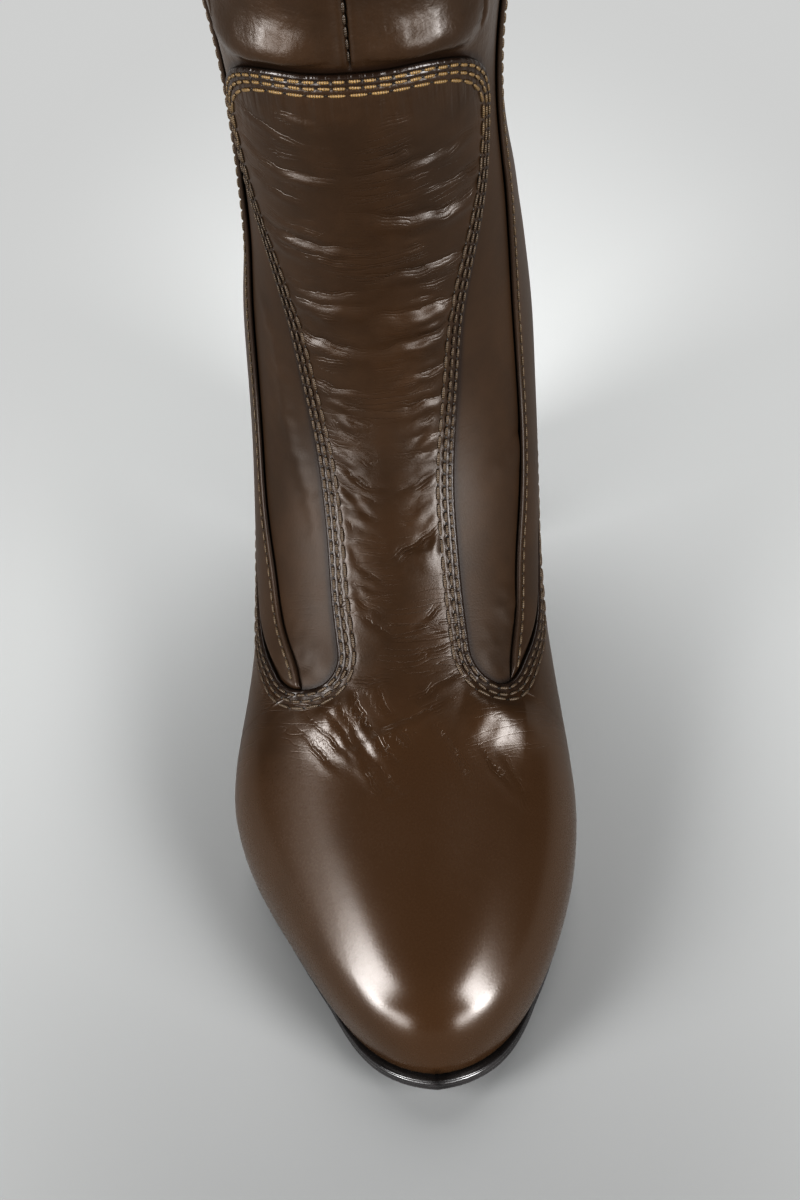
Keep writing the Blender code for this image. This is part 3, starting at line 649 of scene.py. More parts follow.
def place(points):
    """Points in the boot's own millimetres, as places in the frame."""
    return (np.asarray(points, float) - (0.0, BOX_MIDDLE, 0.0)) * MM


def vector_layer(build, name):
    """A layer of vectors on the points of a build, new or already there."""
    layers = build.verts.layers.float_vector
    return layers.get(name) or layers.new(name)


def sheet(build, points, marks=None, fold=None, walls=None):
    """A grid laid on rows of points. Materials read two layers: marks holds the distance from the
    ridge, the station and the distance to a sewn edge, and fold what crease_height gives. Walls
    are shares of the full thickness, for a piece that gets one."""
    rows, columns = points.shape[:2]
    shares = build.verts.layers.deform.verify()
    lay, creased = vector_layer(build, "lay"), vector_layer(build, "fold")
    made = bmesh.ops.create_grid(build, x_segments=columns - 1, y_segments=rows - 1, size=0.5)["verts"]
    places = place(points)
    for vert in made:
        i = round((vert.co.y + 0.5) * (rows - 1))
        j = round((vert.co.x + 0.5) * (columns - 1))
        vert.co = places[i, j]
        if marks is not None:
            vert[lay] = marks[i, j]
        if fold is not None:
            vert[creased] = fold[i, j]
        if walls is not None:
            vert[shares][0] = float(walls[i, j])


def finish(name, build, material, node=None):
    """A named piece that rides on the boot, with its place in its mesh."""
    bmesh.ops.remove_doubles(build, verts=build.verts, dist=WELD)
    mesh = bpy.data.meshes.new(name)
    build.to_mesh(mesh)
    build.free()
    mesh.shade_smooth()
    mesh.materials.append(material)
    piece = bpy.data.objects.new(name, mesh)
    bpy.context.scene.collection.objects.link(piece)
    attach(piece, BODY)
    if node:
        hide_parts(node)
    return piece


def thicken(piece, thickness, weighted=False):
    """Solidify inwards, thinner where the sheet's walls say."""
    wall = piece.modifiers.new("wall", "SOLIDIFY")
    wall.thickness = thickness * MM
    wall.offset = -1.0
    wall.use_rim = True
    if weighted:
        wall.vertex_group = piece.vertex_groups.new(name="wall").name


def edge_face(away):
    """Height of an overlay's face near its rounded edge."""
    return EDGE_LOW + (OVERLAY_FACE - EDGE_LOW) * (1 - arc(1 - away / EDGE_ROUND))


def collar_drop(at):
    """How far the leather turns in at the collar."""
    return COLLAR_TURN * arc((at - COLLAR + COLLAR_ROUND) / COLLAR_ROUND)


def seam_relief(off, deep, wide, puff):
    """A closed seam: a groove, and the leather puffed beside it."""
    return puff * bell((off - PUFF_AT) / PUFF_WIDE) - deep * bell(off / wide)


def sewn_relief(away, along, rows):
    """Grooves under the rows of thread, and the leather puffed between the rows."""
    height = np.zeros_like(away)
    for offset, pitch in rows:
        tug = 0.65 + 0.35 * np.cos(2 * math.pi * along / pitch)
        deep = GROOVE if offset < rows[-1][0] else LAST_GROOVE
        height -= deep * tug * bell((away - offset) / GROOVE_WIDE)
    for (one, _), (two, _) in zip(rows, rows[1:]):
        height += PUFF * bell((away - (one + two) / 2) / 0.5)
    return height


def strips(start, wide, count, closed=True):
    """Columns of each row: even steps from a start over a width, with or without the last."""
    shares = np.linspace(0, 1, count + 1)
    return start[:, None] + (shares if closed else shares[:-1])[None, :] * wide[:, None]


def spread(stations, distances):
    """The station of every point of a grid."""
    return np.repeat(stations[:, None], distances.shape[1], axis=1)


def shin_columns(wide):
    """Columns of half the panel for each row: wide steps inside, narrow ones along the edge."""
    band = np.minimum(BAND, 0.45 * wide)
    return np.concatenate([strips(0 * wide, wide - band, 22, False), strips(wide - band, band, 15)],
                          axis=1)


def side_columns(edge, hem):
    """Columns of the galosh from its sewn edge down to the hem, narrow at both."""
    deep = np.maximum(hem - edge, 0)
    band = np.minimum(BAND, 0.35 * deep)
    rest = 1 - (1 - np.linspace(0, 1, 19)) ** 1.5
    core = (edge + band)[:, None] + rest[None, :] * (deep - band)[:, None]
    return np.concatenate([strips(edge, band, 14, False), core], axis=1)


def quarter_columns(side):
    """Columns of half the upper, crowded at the centre seam and at the corner seam."""
    border = kept_level(corner_line, UPPER_ROWS, side)
    seam = np.maximum(kept_level(COLUMNS["seam"], UPPER_ROWS, side), border * 1.02)
    seam = np.maximum(seam, border + 1.5)
    end = feather(UPPER_ROWS, side)
    scale = np.minimum(1.0, border / FULL_BORDER)
    beside = np.outer(scale, BESIDE_SEAM)
    past = border + beside[:, -1] * 0.9
    columns = np.concatenate([
        np.outer(scale, NEAR_CENTRE[:-1]),
        strips(NEAR_CENTRE[-1] * scale, border - (NEAR_CENTRE[-1] + 1.8) * scale, 11, False),
        border[:, None] - beside[:, :0:-1],
        border[:, None] + beside[:, :-1] * 0.9,
        strips(past, seam - past, 20, False),
        strips(seam, end - seam, 11)], axis=1)
    return np.minimum(columns, end[:, None])


def overlay_sheet(build, stations, distances, sides, creases, hems=None):
    """One grid of the vamp: its face over the upper, with edge, stitch grooves and creases."""
    base = surface(stations, distances)
    away, along = np.full(distances.shape, FAR), np.zeros(distances.shape)
    for side in sides:
        near, where = EDGES[side].measure(base)
        along = np.where(near < away, where, along)
        away = np.minimum(near, away)
    height = edge_face(away) + sewn_relief(away, along, STITCH_ROWS)
    folds, fold = crease_height(base, creases)
    fold[..., 1] *= np.clip((away - LINE_CALM[0]) / LINE_CALM[1], 0, 1)
    if hems is not None:
        height -= HEM_TURN * arc(1 - (hems[:, None] - np.abs(distances)) / HEM_ROUND)
    height += folds * smooth((away - CREASE_CALM[0]) / CREASE_CALM[1])
    points = base + height[..., None] * outward(stations, distances)
    marks = np.stack([distances, spread(stations, distances), away], axis=2)
    sheet(build, points, marks, fold, np.clip((height - OVERLAY_BED) / OVERLAY_DEEP, THIN_VAMP, 1))


def mirrored(columns):
    """Columns of one half laid out from the outer side to the inner one."""
    return np.concatenate([-columns[0][:, ::-1], columns[1][:, 1:]], axis=1)


# Leather: patterns per metre, and the stations over which its polish changes
CLOUDS, SPOTS, PATCHES, BREAKS, WANDER, CELLS, PORES = 26.0, 48.0, 95.0, 150.0, 190.0, 1150.0, 1500.0
TOE_POLISH = (60.0, 105.0)
TOP_POLISH = (305.0, 330.0)
TOP_SHARE = 0.7         # polish of the shaft's front beside the toe's
ROUGH = 0.20            # of polished leather
WORN = 0.08             # more than that elsewhere
COAT = 0.34
COAT_ROUGH = 0.25
HAIRLINES = [  # shift from the crease, width, how far it wanders, and how often it breaks
    (0.0, 0.36, 0.8, 0.30), (0.9, 0.30, 1.6, 0.44), (-0.9, 0.30, 1.8, 0.48), (1.9, 0.30, 2.2, 0.46),
    (2.9, 0.28, 2.6, 0.48)]
PLY = 0.55              # length of the thread's twist
FUZZ = 2600.0
THREAD_SHADE = (0.006, 0.004, 0.003, 1)
FLOOR_DEPTH = (-0.36, 0.16)     # from front to back, over which the floor's painted shade at the front gives way to its paler back
FLOOR_OVAL = (2.0, 1.0, 1.0)
FLOOR_END = (0.12, 0.42)        # oval over which it runs out into the room


class Wire:
    """A socket of a material; Python's operators on it add Math nodes."""

    def __init__(self, tree, socket=None):
        self.tree, self.socket = tree, socket

    def node(self, kind, settings=None, inputs=None, output=0):
        """Any node: its type, its settings, which are set first, and its sockets' values or links."""
        made = self.tree.nodes.new(kind)
        for name, value in (settings or {}).items():
            if name == "stops":
                ramp = made.color_ramp.elements
                while len(ramp) < len(value):
                    ramp.new(0.5)
                for stop, (position, color) in zip(ramp, value):
                    stop.position, stop.color = position, color
            else:
                setattr(made, name, value)
        for name, value in (inputs or {}).items():
            socket = made.inputs[name]
            if isinstance(value, Wire):
                self.tree.links.new(value.socket, socket)
            else:
                socket.default_value = value
        return Wire(self.tree, made.outputs[output])

    def math(self, operation, *values):
        return self.node("ShaderNodeMath", {"operation": operation}, dict(enumerate(values)))

    def __add__(self, other):
        return self.math("ADD", self, other)

    __radd__ = __add__

    def __mul__(self, other):
        return self.math("MULTIPLY", self, other)

    __rmul__ = __mul__

    def __sub__(self, other):
        return self.math("SUBTRACT", self, other)

    def __rsub__(self, other):
        return self.math("SUBTRACT", other, self)

    def __pow__(self, other):
        return self.math("POWER", self, other)

    def __rpow__(self, other):
        return self.math("POWER", other, self)

    def __abs__(self):
        return self.math("ABSOLUTE", self)

    def ramp(self, low, high):
        """0 below low, 1 above high, eased between."""
        return self.node("ShaderNodeMapRange", {"interpolation_type": "SMOOTHSTEP"},
                         {"Value": self, "From Min": low, "From Max": high})

    def here(self):
        """Object coordinates."""
        return self.node("ShaderNodeTexCoord", None, None, 3)

    def layer(self, name):
        """The three values of one of the mesh's layers."""
        vector = self.node("ShaderNodeAttribute", {"attribute_name": name}, None, 1)
        return [self.node("ShaderNodeSeparateXYZ", None, {0: vector}, i) for i in range(3)]

    def bump(self, height, strength=1.0):
        """A normal from heights in millimetres."""
        return self.node("ShaderNodeBump", None, {
            "Strength": strength, "Distance": MM, "Height": height})

    def noise(self, vector, scale, detail=2.0, rough=0.5, warp=0.0):
        return self.node("ShaderNodeTexNoise", None, {
            "Vector": vector, "Scale": scale, "Detail": detail, "Roughness": rough, "Distortion": warp})

    def mix(self, share, one, two):
        """Between two colours."""
        return self.node("ShaderNodeMix", {"data_type": "RGBA", "clamp_factor": True},
                         {0: share, 6: one, 7: two}, 2)


def new_material(name):
    """A material, its wires and its shader."""
    material = bpy.data.materials.new(name)
    material.use_nodes = True
    tree = material.node_tree
    return material, Wire(tree), tree.nodes["Principled BSDF"]


def feed(wires, shader, **sockets):
    """Links or values for the shader's sockets, named with underscores."""
    for name, value in sockets.items():
        socket = shader.inputs[name.replace("_", " ")]
        if isinstance(value, Wire):
            wires.tree.links.new(value.socket, socket)
        else:
            socket.default_value = value


def leather_material(name, colours, hair=1.0, gloss=0.33, satin=0.0, burnish=5.5):
    """Glossy smooth leather: mottled brown, burnished along sewn edges, with grain and hairlines;
    painted shade darkens its crease troughs and a painted sheen lightens the toe.
    Hair is the hairlines' share, satin a roughness added where nothing is polished, and burnish
    the reach of the darker edge."""
    material, wires, shader = new_material(name)
    here = wires.here()
    across, along, away = wires.layer("lay")
    off, strong, high = wires.layer("fold")
    cloud = wires.noise(here, CLOUDS, 4.0, 0.55)
    patch = wires.noise(here, PATCHES, 5.0, 0.6)
    pores = wires.noise(here, PORES, 3.0, 0.6)
    wander = wires.noise(here, WANDER, 3.0, 0.6)
    breaks = wires.noise(here, BREAKS, 2.0, 0.5)
    toe, top = 1 - along.ramp(*TOE_POLISH), along.ramp(*TOP_POLISH)
    shine = toe + top * TOP_SHARE
    # The toe's share in the tint is a painted sheen: it lifts the toe's colour toward the lighter
    # leather
    tint = (cloud * 0.6 + patch * 0.4 + toe * 0.25).ramp(0.22, 0.78)
    edge = 1 - away.ramp(0.3, burnish)
    base = wires.mix(tint, tuple(colours.leather_dark), tuple(colours.leather_light))
    # The burnished edge, then painted shade: crease troughs darkened where the fold's height sinks below
    # the face
    for share in (edge * 0.85, (0.0 - high).ramp(0.05, 0.7) * 0.25):
        base = wires.mix(share, base, tuple(colours.burnish_and_crease_shade))
    lines = None
    for shift, wide, wild, low in HAIRLINES:
        path = abs(off - shift + (wander - 0.5) * wild)
        line = (1 - path.ramp(0.0, wide)) * breaks.ramp(low, low + 0.12)
        lines = line if lines is None else lines.math("MAXIMUM", lines, line)
    # Loose hairlines that hang across the shin, and short tucks under the panel's top row
    slope = (across * across + 60.0) ** 0.5 * 0.42
    hang = wires.node("ShaderNodeCombineXYZ", None, {0: across * 0.045, 1: (along - slope) * 0.36})
    crest = 1 - abs(wires.noise(hang, 1.0, 1.5, 0.5, 0.5) * 2.0 - 1.0)
    loose = wires.noise(here, SPOTS, 2.0, 0.5).ramp(0.47, 0.62) * along.ramp(62.0, 100.0)
    fall = wires.node("ShaderNodeCombineXYZ", None, {0: across * 0.42, 1: along * 0.04})
    tucks = wires.noise(fall, 1.0, 2.0, 0.5).ramp(0.35, 0.7) * (1 - away.ramp(6.0, 17.0))
    tucks = tucks * along.ramp(300.0, 316.0)
    cells = wires.node("ShaderNodeTexVoronoi", {"feature": "DISTANCE_TO_EDGE"},
                       {"Vector": here, "Scale": CELLS})
    relief = cells.ramp(0.0, 0.35) * 0.006 + pores * 0.010 - tucks * (0.28 * hair)
    relief = relief - crest ** 30.0 * loose * (0.08 * hair) - lines * strong * (0.10 * hair)
    relief = relief + patch * (top * 0.20 + 0.03) + wander * top * 0.26
    rough = ROUGH + (1 - shine) * (WORN + satin) + pores * 0.08 + patch * 0.06
    feed(wires, shader, Base_Color=base, Roughness=rough, Normal=wires.bump(relief), Metallic=0.0,
         IOR=1.5, Specular_IOR_Level=gloss, Coat_Weight=shine * COAT, Coat_Roughness=COAT_ROUGH)
    return material


def plain_material(name, color, other, rough, scale, relief, coat=0.0):
    """A mottled finish with a fine relief."""
    material, wires, shader = new_material(name)
    here = wires.here()
    cloud = wires.noise(here, scale, 4.0, 0.6)
    fine = wires.noise(here, scale * 14, 3.0, 0.6)
    feed(wires, shader, Base_Color=wires.mix(cloud.ramp(0.35, 0.65), tuple(color), other),
         Roughness=rough + fine * 0.12, Normal=wires.bump(fine * relief), Metallic=0.0,
         Coat_Weight=coat)
    return material


def toned(color, share):
    """A colour made darker or paler."""
    return tuple(c * share for c in color[:3]) + (1.0,)


def floor_material(name, front, back, room):
    """Plain matt paper, with painted shade darkening it towards the front and paler towards the back,
    that runs out into the room's grey.
    """
    material, wires, shader = new_material(name)
    here = wires.here()
    depth = wires.node("ShaderNodeSeparateXYZ", None, {0: here}, 1)
    feed(wires, shader, Base_Color=wires.mix(depth.ramp(*FLOOR_DEPTH), front, back), Roughness=0.9,
         Specular_IOR_Level=0.0)
    glow = wires.node("ShaderNodeEmission", None, {"Color": room, "Strength": 1.0})
    oval = wires.node("ShaderNodeVectorMath", {"operation": "MULTIPLY"}, {0: here, 1: FLOOR_OVAL})
    far = wires.node("ShaderNodeVectorMath", {"operation": "LENGTH"}, {0: oval}, 1)
    both = wires.node("ShaderNodeMixShader", None, {
        0: far.ramp(*FLOOR_END), 1: Wire(wires.tree, shader.outputs[0]), 2: glow})
    wires.tree.links.new(both.socket, wires.tree.nodes["Material Output"].inputs["Surface"])
    return material


def thread_material(name, bronze, thread_highlight):
    """Twisted waxed thread: bronze, with a painted golden highlight where the layer's third value rises
    to 1, painted shade where it falls below 0, and painted shade in the twist's grooves.
    """
    material, wires, shader = new_material(name)
    twist, _, tone = wires.layer("lay")
    turns = twist * (2 * math.pi / PLY)
    ply = turns.math("SINE", turns)
    fuzz = wires.noise(wires.here(), FUZZ, 2.0, 0.6)
    # The twist and fuzz mix the thread toward THREAD_SHADE: painted shade in the twist's grooves
    lit = (ply * 0.16 + fuzz * 0.5 + 0.42).ramp(0.25, 0.85) * tone.ramp(-0.9, 0.0)
    shade = wires.mix(lit, THREAD_SHADE, wires.mix(tone, bronze, thread_highlight))
    feed(wires, shader, Base_Color=shade, Roughness=0.38 + fuzz * 0.2,
         Normal=wires.bump(ply * 0.04 + fuzz * 0.03, 0.8))
    return material


def brown(default, name, description):
    """A property for a colour."""
    return FloatVectorProperty(name=name, description=description, default=default, size=4,
                               min=0.0, max=1.0, subtype="COLOR")


class BootColours(bpy.types.PropertyGroup):
    """Finishes that a user would change"""
    leather_dark: brown((0.0185, 0.0099, 0.0044, 1), "Leather, dark", "Darker tone of the brown leather")
    leather_light: brown((0.0345, 0.0185, 0.0084, 1), "Leather, light",
                         "Lighter tone of the brown leather")
    # Burnished edge colour, also used as painted shade in the leather's crease troughs
    burnish_and_crease_shade: brown((0.012, 0.0062, 0.0036, 1), "Leather edge", "Burnished leather along sewn edges")
    bronze: brown((0.056, 0.036, 0.018, 1), "Bronze thread", "Thread of the long seams")
    # Painted highlight: a lit, golden copy of the bronze thread, used along the panel's top
    thread_highlight: brown((0.150, 0.098, 0.037, 1), "Gold thread", "Thread along the panel's top")
    sole: brown((0.010, 0.009, 0.009, 1), "Sole", "Edge of the sole and the heel")
    lining: brown((0.30, 0.19, 0.11, 1), "Lining", "Lining leather and sock")
    floor: brown((0.305, 0.308, 0.307, 1), "Floor", "Pale floor behind the boot")
    # Painted shade: a darker copy of the floor paper, used before the boot
    floor_front_shade: brown((0.100, 0.1012, 0.1008, 1), "Floor front", "Pale floor before the boot")


class BootSizes(bpy.types.PropertyGroup):
    """Sizes that a user would change"""
    thread: FloatProperty(name="Thread", description="Thickness of the thread", default=0.95 * MM,
                          min=0.0002, max=0.002, unit="LENGTH")
    stitch: FloatProperty(name="Stitch share", description="Share of the pitch that a stitch covers",
                          default=0.84, min=0.3, max=0.98, subtype="FACTOR")
    stitch_sides: IntProperty(name="Stitch sides", description="Sides of a stitch's round",
                              default=6, min=4, max=8)


def settings():
    """The sizes and the colours in use."""
    scene = bpy.context.scene
    return scene.boot_sizes, scene.boot_colours


class BOOT_OT_upper(bpy.types.Operator):
    """Quarters and front of the shaft, with their seams and soft folds"""
    bl_idname = "boot.upper"
    bl_label = "Upper"

    def execute(self, context):
        material = leather_material("quarter_leather", settings()[1], hair=0.15, gloss=0.25,
                                    satin=0.16, burnish=2.0)
        stations = UPPER_ROWS
        distances = mirrored([quarter_columns(side) for side in (-1, 1)])
        base = surface(stations, distances)
        at = spread(stations, distances)
        away = np.minimum(*[EDGES[side].measure(base)[0] for side in (-1, 1)])
        under_panel = (at < PANEL_TOP) & (
            np.abs(distances) < panel_edge(np.minimum(stations, PANEL_TOP))[:, None])
        shown = np.where(under_panel, 0.0, np.clip((away - OPEN_LEATHER[0]) / OPEN_LEATHER[1], 0, 1))
        above = np.clip((at - PANEL_TOP) / 3.0, 0, 1)
        centre = np.abs(distances - CENTRE_SEAM)
        corner = np.abs(np.abs(distances) - corner_line(stations)[:, None])
        folds, fold = crease_height(base, UPPER_CREASES)
        fold[..., 1] *= shown
        height = folds * shown - collar_drop(at) + above * (
            seam_relief(centre, *CENTRE_GROOVE) + seam_relief(corner, *CORNER_GROOVE))
        to_seam = np.where(above > 0, np.minimum(centre, corner) + 1.5, FAR)
        marks = np.stack([distances, at, np.where(under_panel, 0, np.minimum(away, to_seam))], axis=2)
        build = bmesh.new()
        sheet(build, base + height[..., None] * outward(stations, distances), marks, fold)
        piece = finish("upper_leather", build, material, "upper")
        thicken(piece, UPPER_THICK)
        return {"FINISHED"}


class BOOT_OT_lining(bpy.types.Operator):
    """Lining inside the upper, up to the collar"""
    bl_idname = "boot.lining"
    bl_label = "Lining"

    def execute(self, context):
        color = settings()[1].lining
        material = plain_material("lining_leather", color, toned(color, 0.75), rough=0.55, scale=60.0,
                                  relief=0.05)
        rows = np.array(even(14.0, COLLAR - 3, 4.0) + crowded(COLLAR - 3, COLLAR - 0.2, 6, 1.6)
                        + [COLLAR - 0.2])
        distances = mirrored([strips(0 * rows, feather(rows, side) - 0.01, 32) for side in (-1, 1)])
        at = spread(rows, distances)
        depth = LINING_TURN * arc((at - COLLAR + 2.0) / 1.8) - LINING_DEEP
        build = bmesh.new()
        sheet(build, surface(rows, distances) + depth[..., None] * outward(rows, distances),
              np.stack([distances, at, 0 * at], axis=2))
        piece = finish("lining", build, material)
        thicken(piece, LINING_THICK)
        return {"FINISHED"}


class BOOT_OT_vamp(bpy.types.Operator):
    """Vamp, shin panel and galosh in one piece, sewn over the upper"""
    bl_idname = "boot.vamp"
    bl_label = "Vamp and shin panel"

    def execute(self, context):
        material = leather_material("vamp_leather", settings()[1])
        creases = VAMP_CREASES + fine_creases()
        build = bmesh.new()
        halves = []
        for side in (-1, 1):
            level = kept_level(panel_line, PANEL_ROWS, side)
            edge = panel_edge(np.minimum(PANEL_ROWS, PANEL_TOP))
            halves.append(shin_columns(np.where(PANEL_ROWS > WINDOW_FRONT, edge, level)))
        overlay_sheet(build, PANEL_ROWS, mirrored(halves), (-1, 1), creases)
        for side in (-1, 1):
            level = kept_level(panel_line, GALOSH_ROWS, side)
            edge = np.where(GALOSH_ROWS > WINDOW_FRONT, galosh_line(GALOSH_ROWS, side), level)
            hem = np.maximum(feather(GALOSH_ROWS, side, HEM_LIFT), edge)
            distances = side * side_columns(edge, hem)[:, ::side]
            overlay_sheet(build, GALOSH_ROWS, distances, (side,), creases,
                          np.where(GALOSH_ROWS < CLOSING, hem, FAR))
        piece = finish("vamp_leather", build, material, "vamp")
        thicken(piece, OVERLAY_DEEP, True)
        return {"FINISHED"}


class BOOT_OT_shaft_back(bpy.types.Operator):
    """Back half of the shaft, sewn over the quarters along the two side seams"""
    bl_idname = "boot.shaft_back"
    bl_label = "Shaft back"

    def execute(self, context):
        material = leather_material("shaft_leather", settings()[1], hair=0.15, gloss=0.3, satin=0.10,
                                    burnish=2.5)
        closing = galosh_closing(-TUCK)
        build = bmesh.new()
        for side in (-1, 1):
            rows = np.array(even(SEAM_START[side], closing, 1.3) + even(closing, COLLAR - 3, 1.6)
                            + crowded(COLLAR - 3, COLLAR, 8, 1.6) + [COLLAR])
            low = galosh_line(rows, side, -TUCK)
            seam = np.minimum(COLUMNS["seam"](rows), low)
            band = np.minimum(SIDE_BAND, 0.4 * (low - seam))
            distances = side * np.concatenate([
                strips(seam, band, 11, False), strips(seam + band, low - seam - band, 22)],
                axis=1)[:, ::side]
            base = surface(rows, distances)
            at = spread(rows, distances)
            away, along = SEAM_EDGES[side].measure(base)
            folds, fold = crease_height(base, BACK_CREASES)
            fold[..., 1] *= 0.3
            past = 10.0 * smooth((rows - GALOSH_CLOSING) / 5.0)
            over = (galosh_line(rows, side) + past)[:, None] - np.abs(distances)
            height = edge_face(away) + sewn_relief(away, along, (SIDE_ROW,)) + folds
            height = height * smooth((over + 0.3) / 2.4) - collar_drop(at)
            sheet(build, base + height[..., None] * outward(rows, distances),
                  np.stack([distances, at, away + 1.5], axis=2), fold,
                  np.clip((height - OVERLAY_BED) / OVERLAY_DEEP, THIN_BACK, 1))
        piece = finish("shaft_leather", build, material, "shaft_back")
        thicken(piece, OVERLAY_DEEP, True)
        return {"FINISHED"}


def stitch(build, layer, start, end, up, thick, sides, tone):
    """One stitch: a capsule of a few faces from a hole to the next."""
    run = end - start
    length = run.length
    along = run.normalized()
    side = up.cross(along).normalized()
    turn = Matrix((side, along.cross(side), along)).transposed().to_4x4()
    made = bmesh.ops.create_uvsphere(build, u_segments=sides, v_segments=6, radius=0.5)["verts"]
    for vert in made:
        x, y, z = vert.co
        blunt = math.copysign(abs(2 * z) ** 0.6, z)
        vert[layer] = (blunt * length / MM / 2, 0.0, tone)
        vert.co = (x * thick, y * thick * 0.85, 0.5 * blunt * length)
    bmesh.ops.transform(build, matrix=Matrix.Translation((start + end) / 2) @ turn, verts=made)


def sew(whole, line, bed, pitch, tone_of, sizes):
    """Stitches along a line of places, set into the bed's surface, sewn in short runs."""
    steps = np.linalg.norm(np.diff(line, axis=0), axis=1)
    run = np.concatenate([[0], np.cumsum(steps)])
    count = int(run[-1] / (pitch * MM))
    pitch = run[-1] / count
    for first in range(0, count, STITCHES_AT_ONCE):
        build = bmesh.new()
        layer = build.verts.layers.float_vector.new("lay")
        for i in range(first, min(first + STITCHES_AT_ONCE, count)):
            ends = []
            for share in ((1 - sizes.stitch) / 2, (1 + sizes.stitch) / 2):
                at = (i + share) * pitch
                point = Vector([np.interp(at, run, line[:, axis]) for axis in range(3)])
                ends.append(bed.find_nearest(point)[:2])
            up = (ends[0][1] + ends[1][1]).normalized()
            lift = up * sizes.thread * STITCH_LIFT
            stitch(build, layer, ends[0][0] + lift, ends[1][0] + lift, up, sizes.thread,
                   sizes.stitch_sides, tone_of((i + 0.5) * pitch / MM))
            # At each needle hole a small near-black bead sunk into the leather: painted shade for the
            # hole
            along = (ends[1][0] - ends[0][0]).normalized() * sizes.thread * HOLE
            hole = ends[1][0] + along * 0.9 - up * sizes.thread * 0.3
            stitch(build, layer, hole - along, hole + along, up, sizes.thread * 0.9,
                   sizes.stitch_sides, HOLE_SHADE_TONE)
        mesh = bpy.data.meshes.new("run")
        build.to_mesh(mesh)
        build.free()
        whole.from_mesh(mesh)
        bpy.data.meshes.remove(mesh)


def bed_of(name):
    """The outer face of a piece, to set stitches on."""
    mesh = bpy.data.objects[name].data
    return BVHTree.FromPolygons([v.co.copy() for v in mesh.vertices],
                                [tuple(p.vertices) for p in mesh.polygons])


class BOOT_OT_stitching(bpy.types.Operator):
    """Rows along the vamp's edge, the side seams, the seam of the shaft's front and the collar"""
    bl_idname = "boot.stitching"
    bl_label = "Stitching"

    def execute(self, context):
        sizes, colours = settings()
        material = thread_material("waxed_thread", tuple(colours.bronze), tuple(colours.thread_highlight))
        build = bmesh.new()
        bed = bed_of("vamp_leather")
        for side, edge in EDGES.items():
            for offset, pitch in STITCH_ROWS:
                line = place(edge.inward_line(offset, -side) + OVERLAY_FACE * edge.normals)
                # Painted highlight on the rows along the panel's top, fading to bronze further along the
                # edge
                sew(build, line, bed, pitch,
                    lambda at: float(np.clip((THREAD_HIGHLIGHT_END - at) / THREAD_HIGHLIGHT_FADE, 0, 1)), sizes)
        finish("edge_stitches", build, material, None)
        build = bmesh.new()
        bed = bed_of("shaft_leather")
        for side, edge in SEAM_EDGES.items():
            line = place(edge.inward_line(SIDE_ROW[0], -side) + OVERLAY_FACE * edge.normals)
            sew(build, line[12:-30], bed, SIDE_ROW[1], lambda at: SIDE_TONE, sizes)
        finish("side_stitches", build, material, None)
        build = bmesh.new()
        stations = np.linspace(PANEL_TOP + 3, COLLAR - 6, 400)
        line = surface(stations, np.full((len(stations), 1), CENTRE_SEAM - 0.5))[:, 0]
        sew(build, place(line), bed_of("upper_leather"), CENTRE_PITCH, lambda at: SUNK_SHADE_TONE, sizes)
        finish("centre_stitches", build, material, None)
        build = bmesh.new()
        level = np.array([COLLAR - COLLAR_ROW[0]])
        seam, back = float(COLUMNS["seam"](level)[0]), float(feather(level, 1)[0])
        behind = np.linspace(seam + SEAM_CLEAR, back, 400)
        front = np.linspace(SEAM_CLEAR - seam, seam - SEAM_CLEAR, 400)
        for name, distances in (("upper_leather", front), ("shaft_leather", behind),
                                ("shaft_leather", -behind)):
            line = surface(level, distances[None, :])[0]
            sew(build, place(line), bed_of(name), COLLAR_ROW[1], lambda at: 0.0, sizes)
        finish("collar_stitches", build, material, None)
        return {"FINISHED"}


def feather_line():
    """The upper's lower edge in plan, nose to heel: the lateral side and the medial side."""
    stations = np.array([CLOSING * (i / 12) ** 2 * 0.05 for i in range(12)]
                        + even(CLOSING * 0.05, CLOSING - 30, 2.0) + crowded(CLOSING - 30, CLOSING, 30)
                        + [CLOSING])
    return [surface(stations, side * feather(stations, side)[:, None])[:, 0, :2] for side in (-1, 1)]


def moved_out(sides, amount):
    """The plan moved out by an amount that depends on the place along the boot."""
    lateral, medial = sides
    ring = np.concatenate([lateral, medial[-2:0:-1]])
    tangent = np.roll(ring, -1, axis=0) - np.roll(ring, 1, axis=0)
    normal = np.stack([-tangent[:, 1], tangent[:, 0]], axis=1)
    normal /= np.linalg.norm(normal, axis=1, keepdims=True)
    ring = ring + normal * amount(ring[:, 1])[:, None]
    count = len(lateral)
    return ring[:count], np.concatenate([ring[:1], ring[:count - 2:-1]])


def layer_points(sides, height, columns=14):
    """Rows of points from the lateral side to the medial one, at a height for each place along."""
    shares = np.linspace(0, 1, columns + 1)
    plan = np.array([[left + (right - left) * share for share in shares] for left, right in zip(*sides)])
    return np.concatenate([plan, height(plan[..., 1])[..., None]], axis=2)


def rim_of(rows):
    """The outer points of a layer, once round and closed."""
    return np.concatenate([rows[:, 0], rows[-1, 1:], rows[-2::-1, -1], rows[0, -2::-1]])


def stack(build, layers):
    """A solid from layers of points, the lowest first: its two faces and the wall between."""
    sheet(build, layers[0])
    sheet(build, layers[-1])
    sheet(build, np.array([rim_of(points) for points in layers]))
    bmesh.ops.remove_doubles(build, verts=build.verts, dist=WELD)
    bmesh.ops.dissolve_degenerate(build, edges=build.edges, dist=WELD / 2)
    bmesh.ops.recalc_face_normals(build, faces=build.faces)


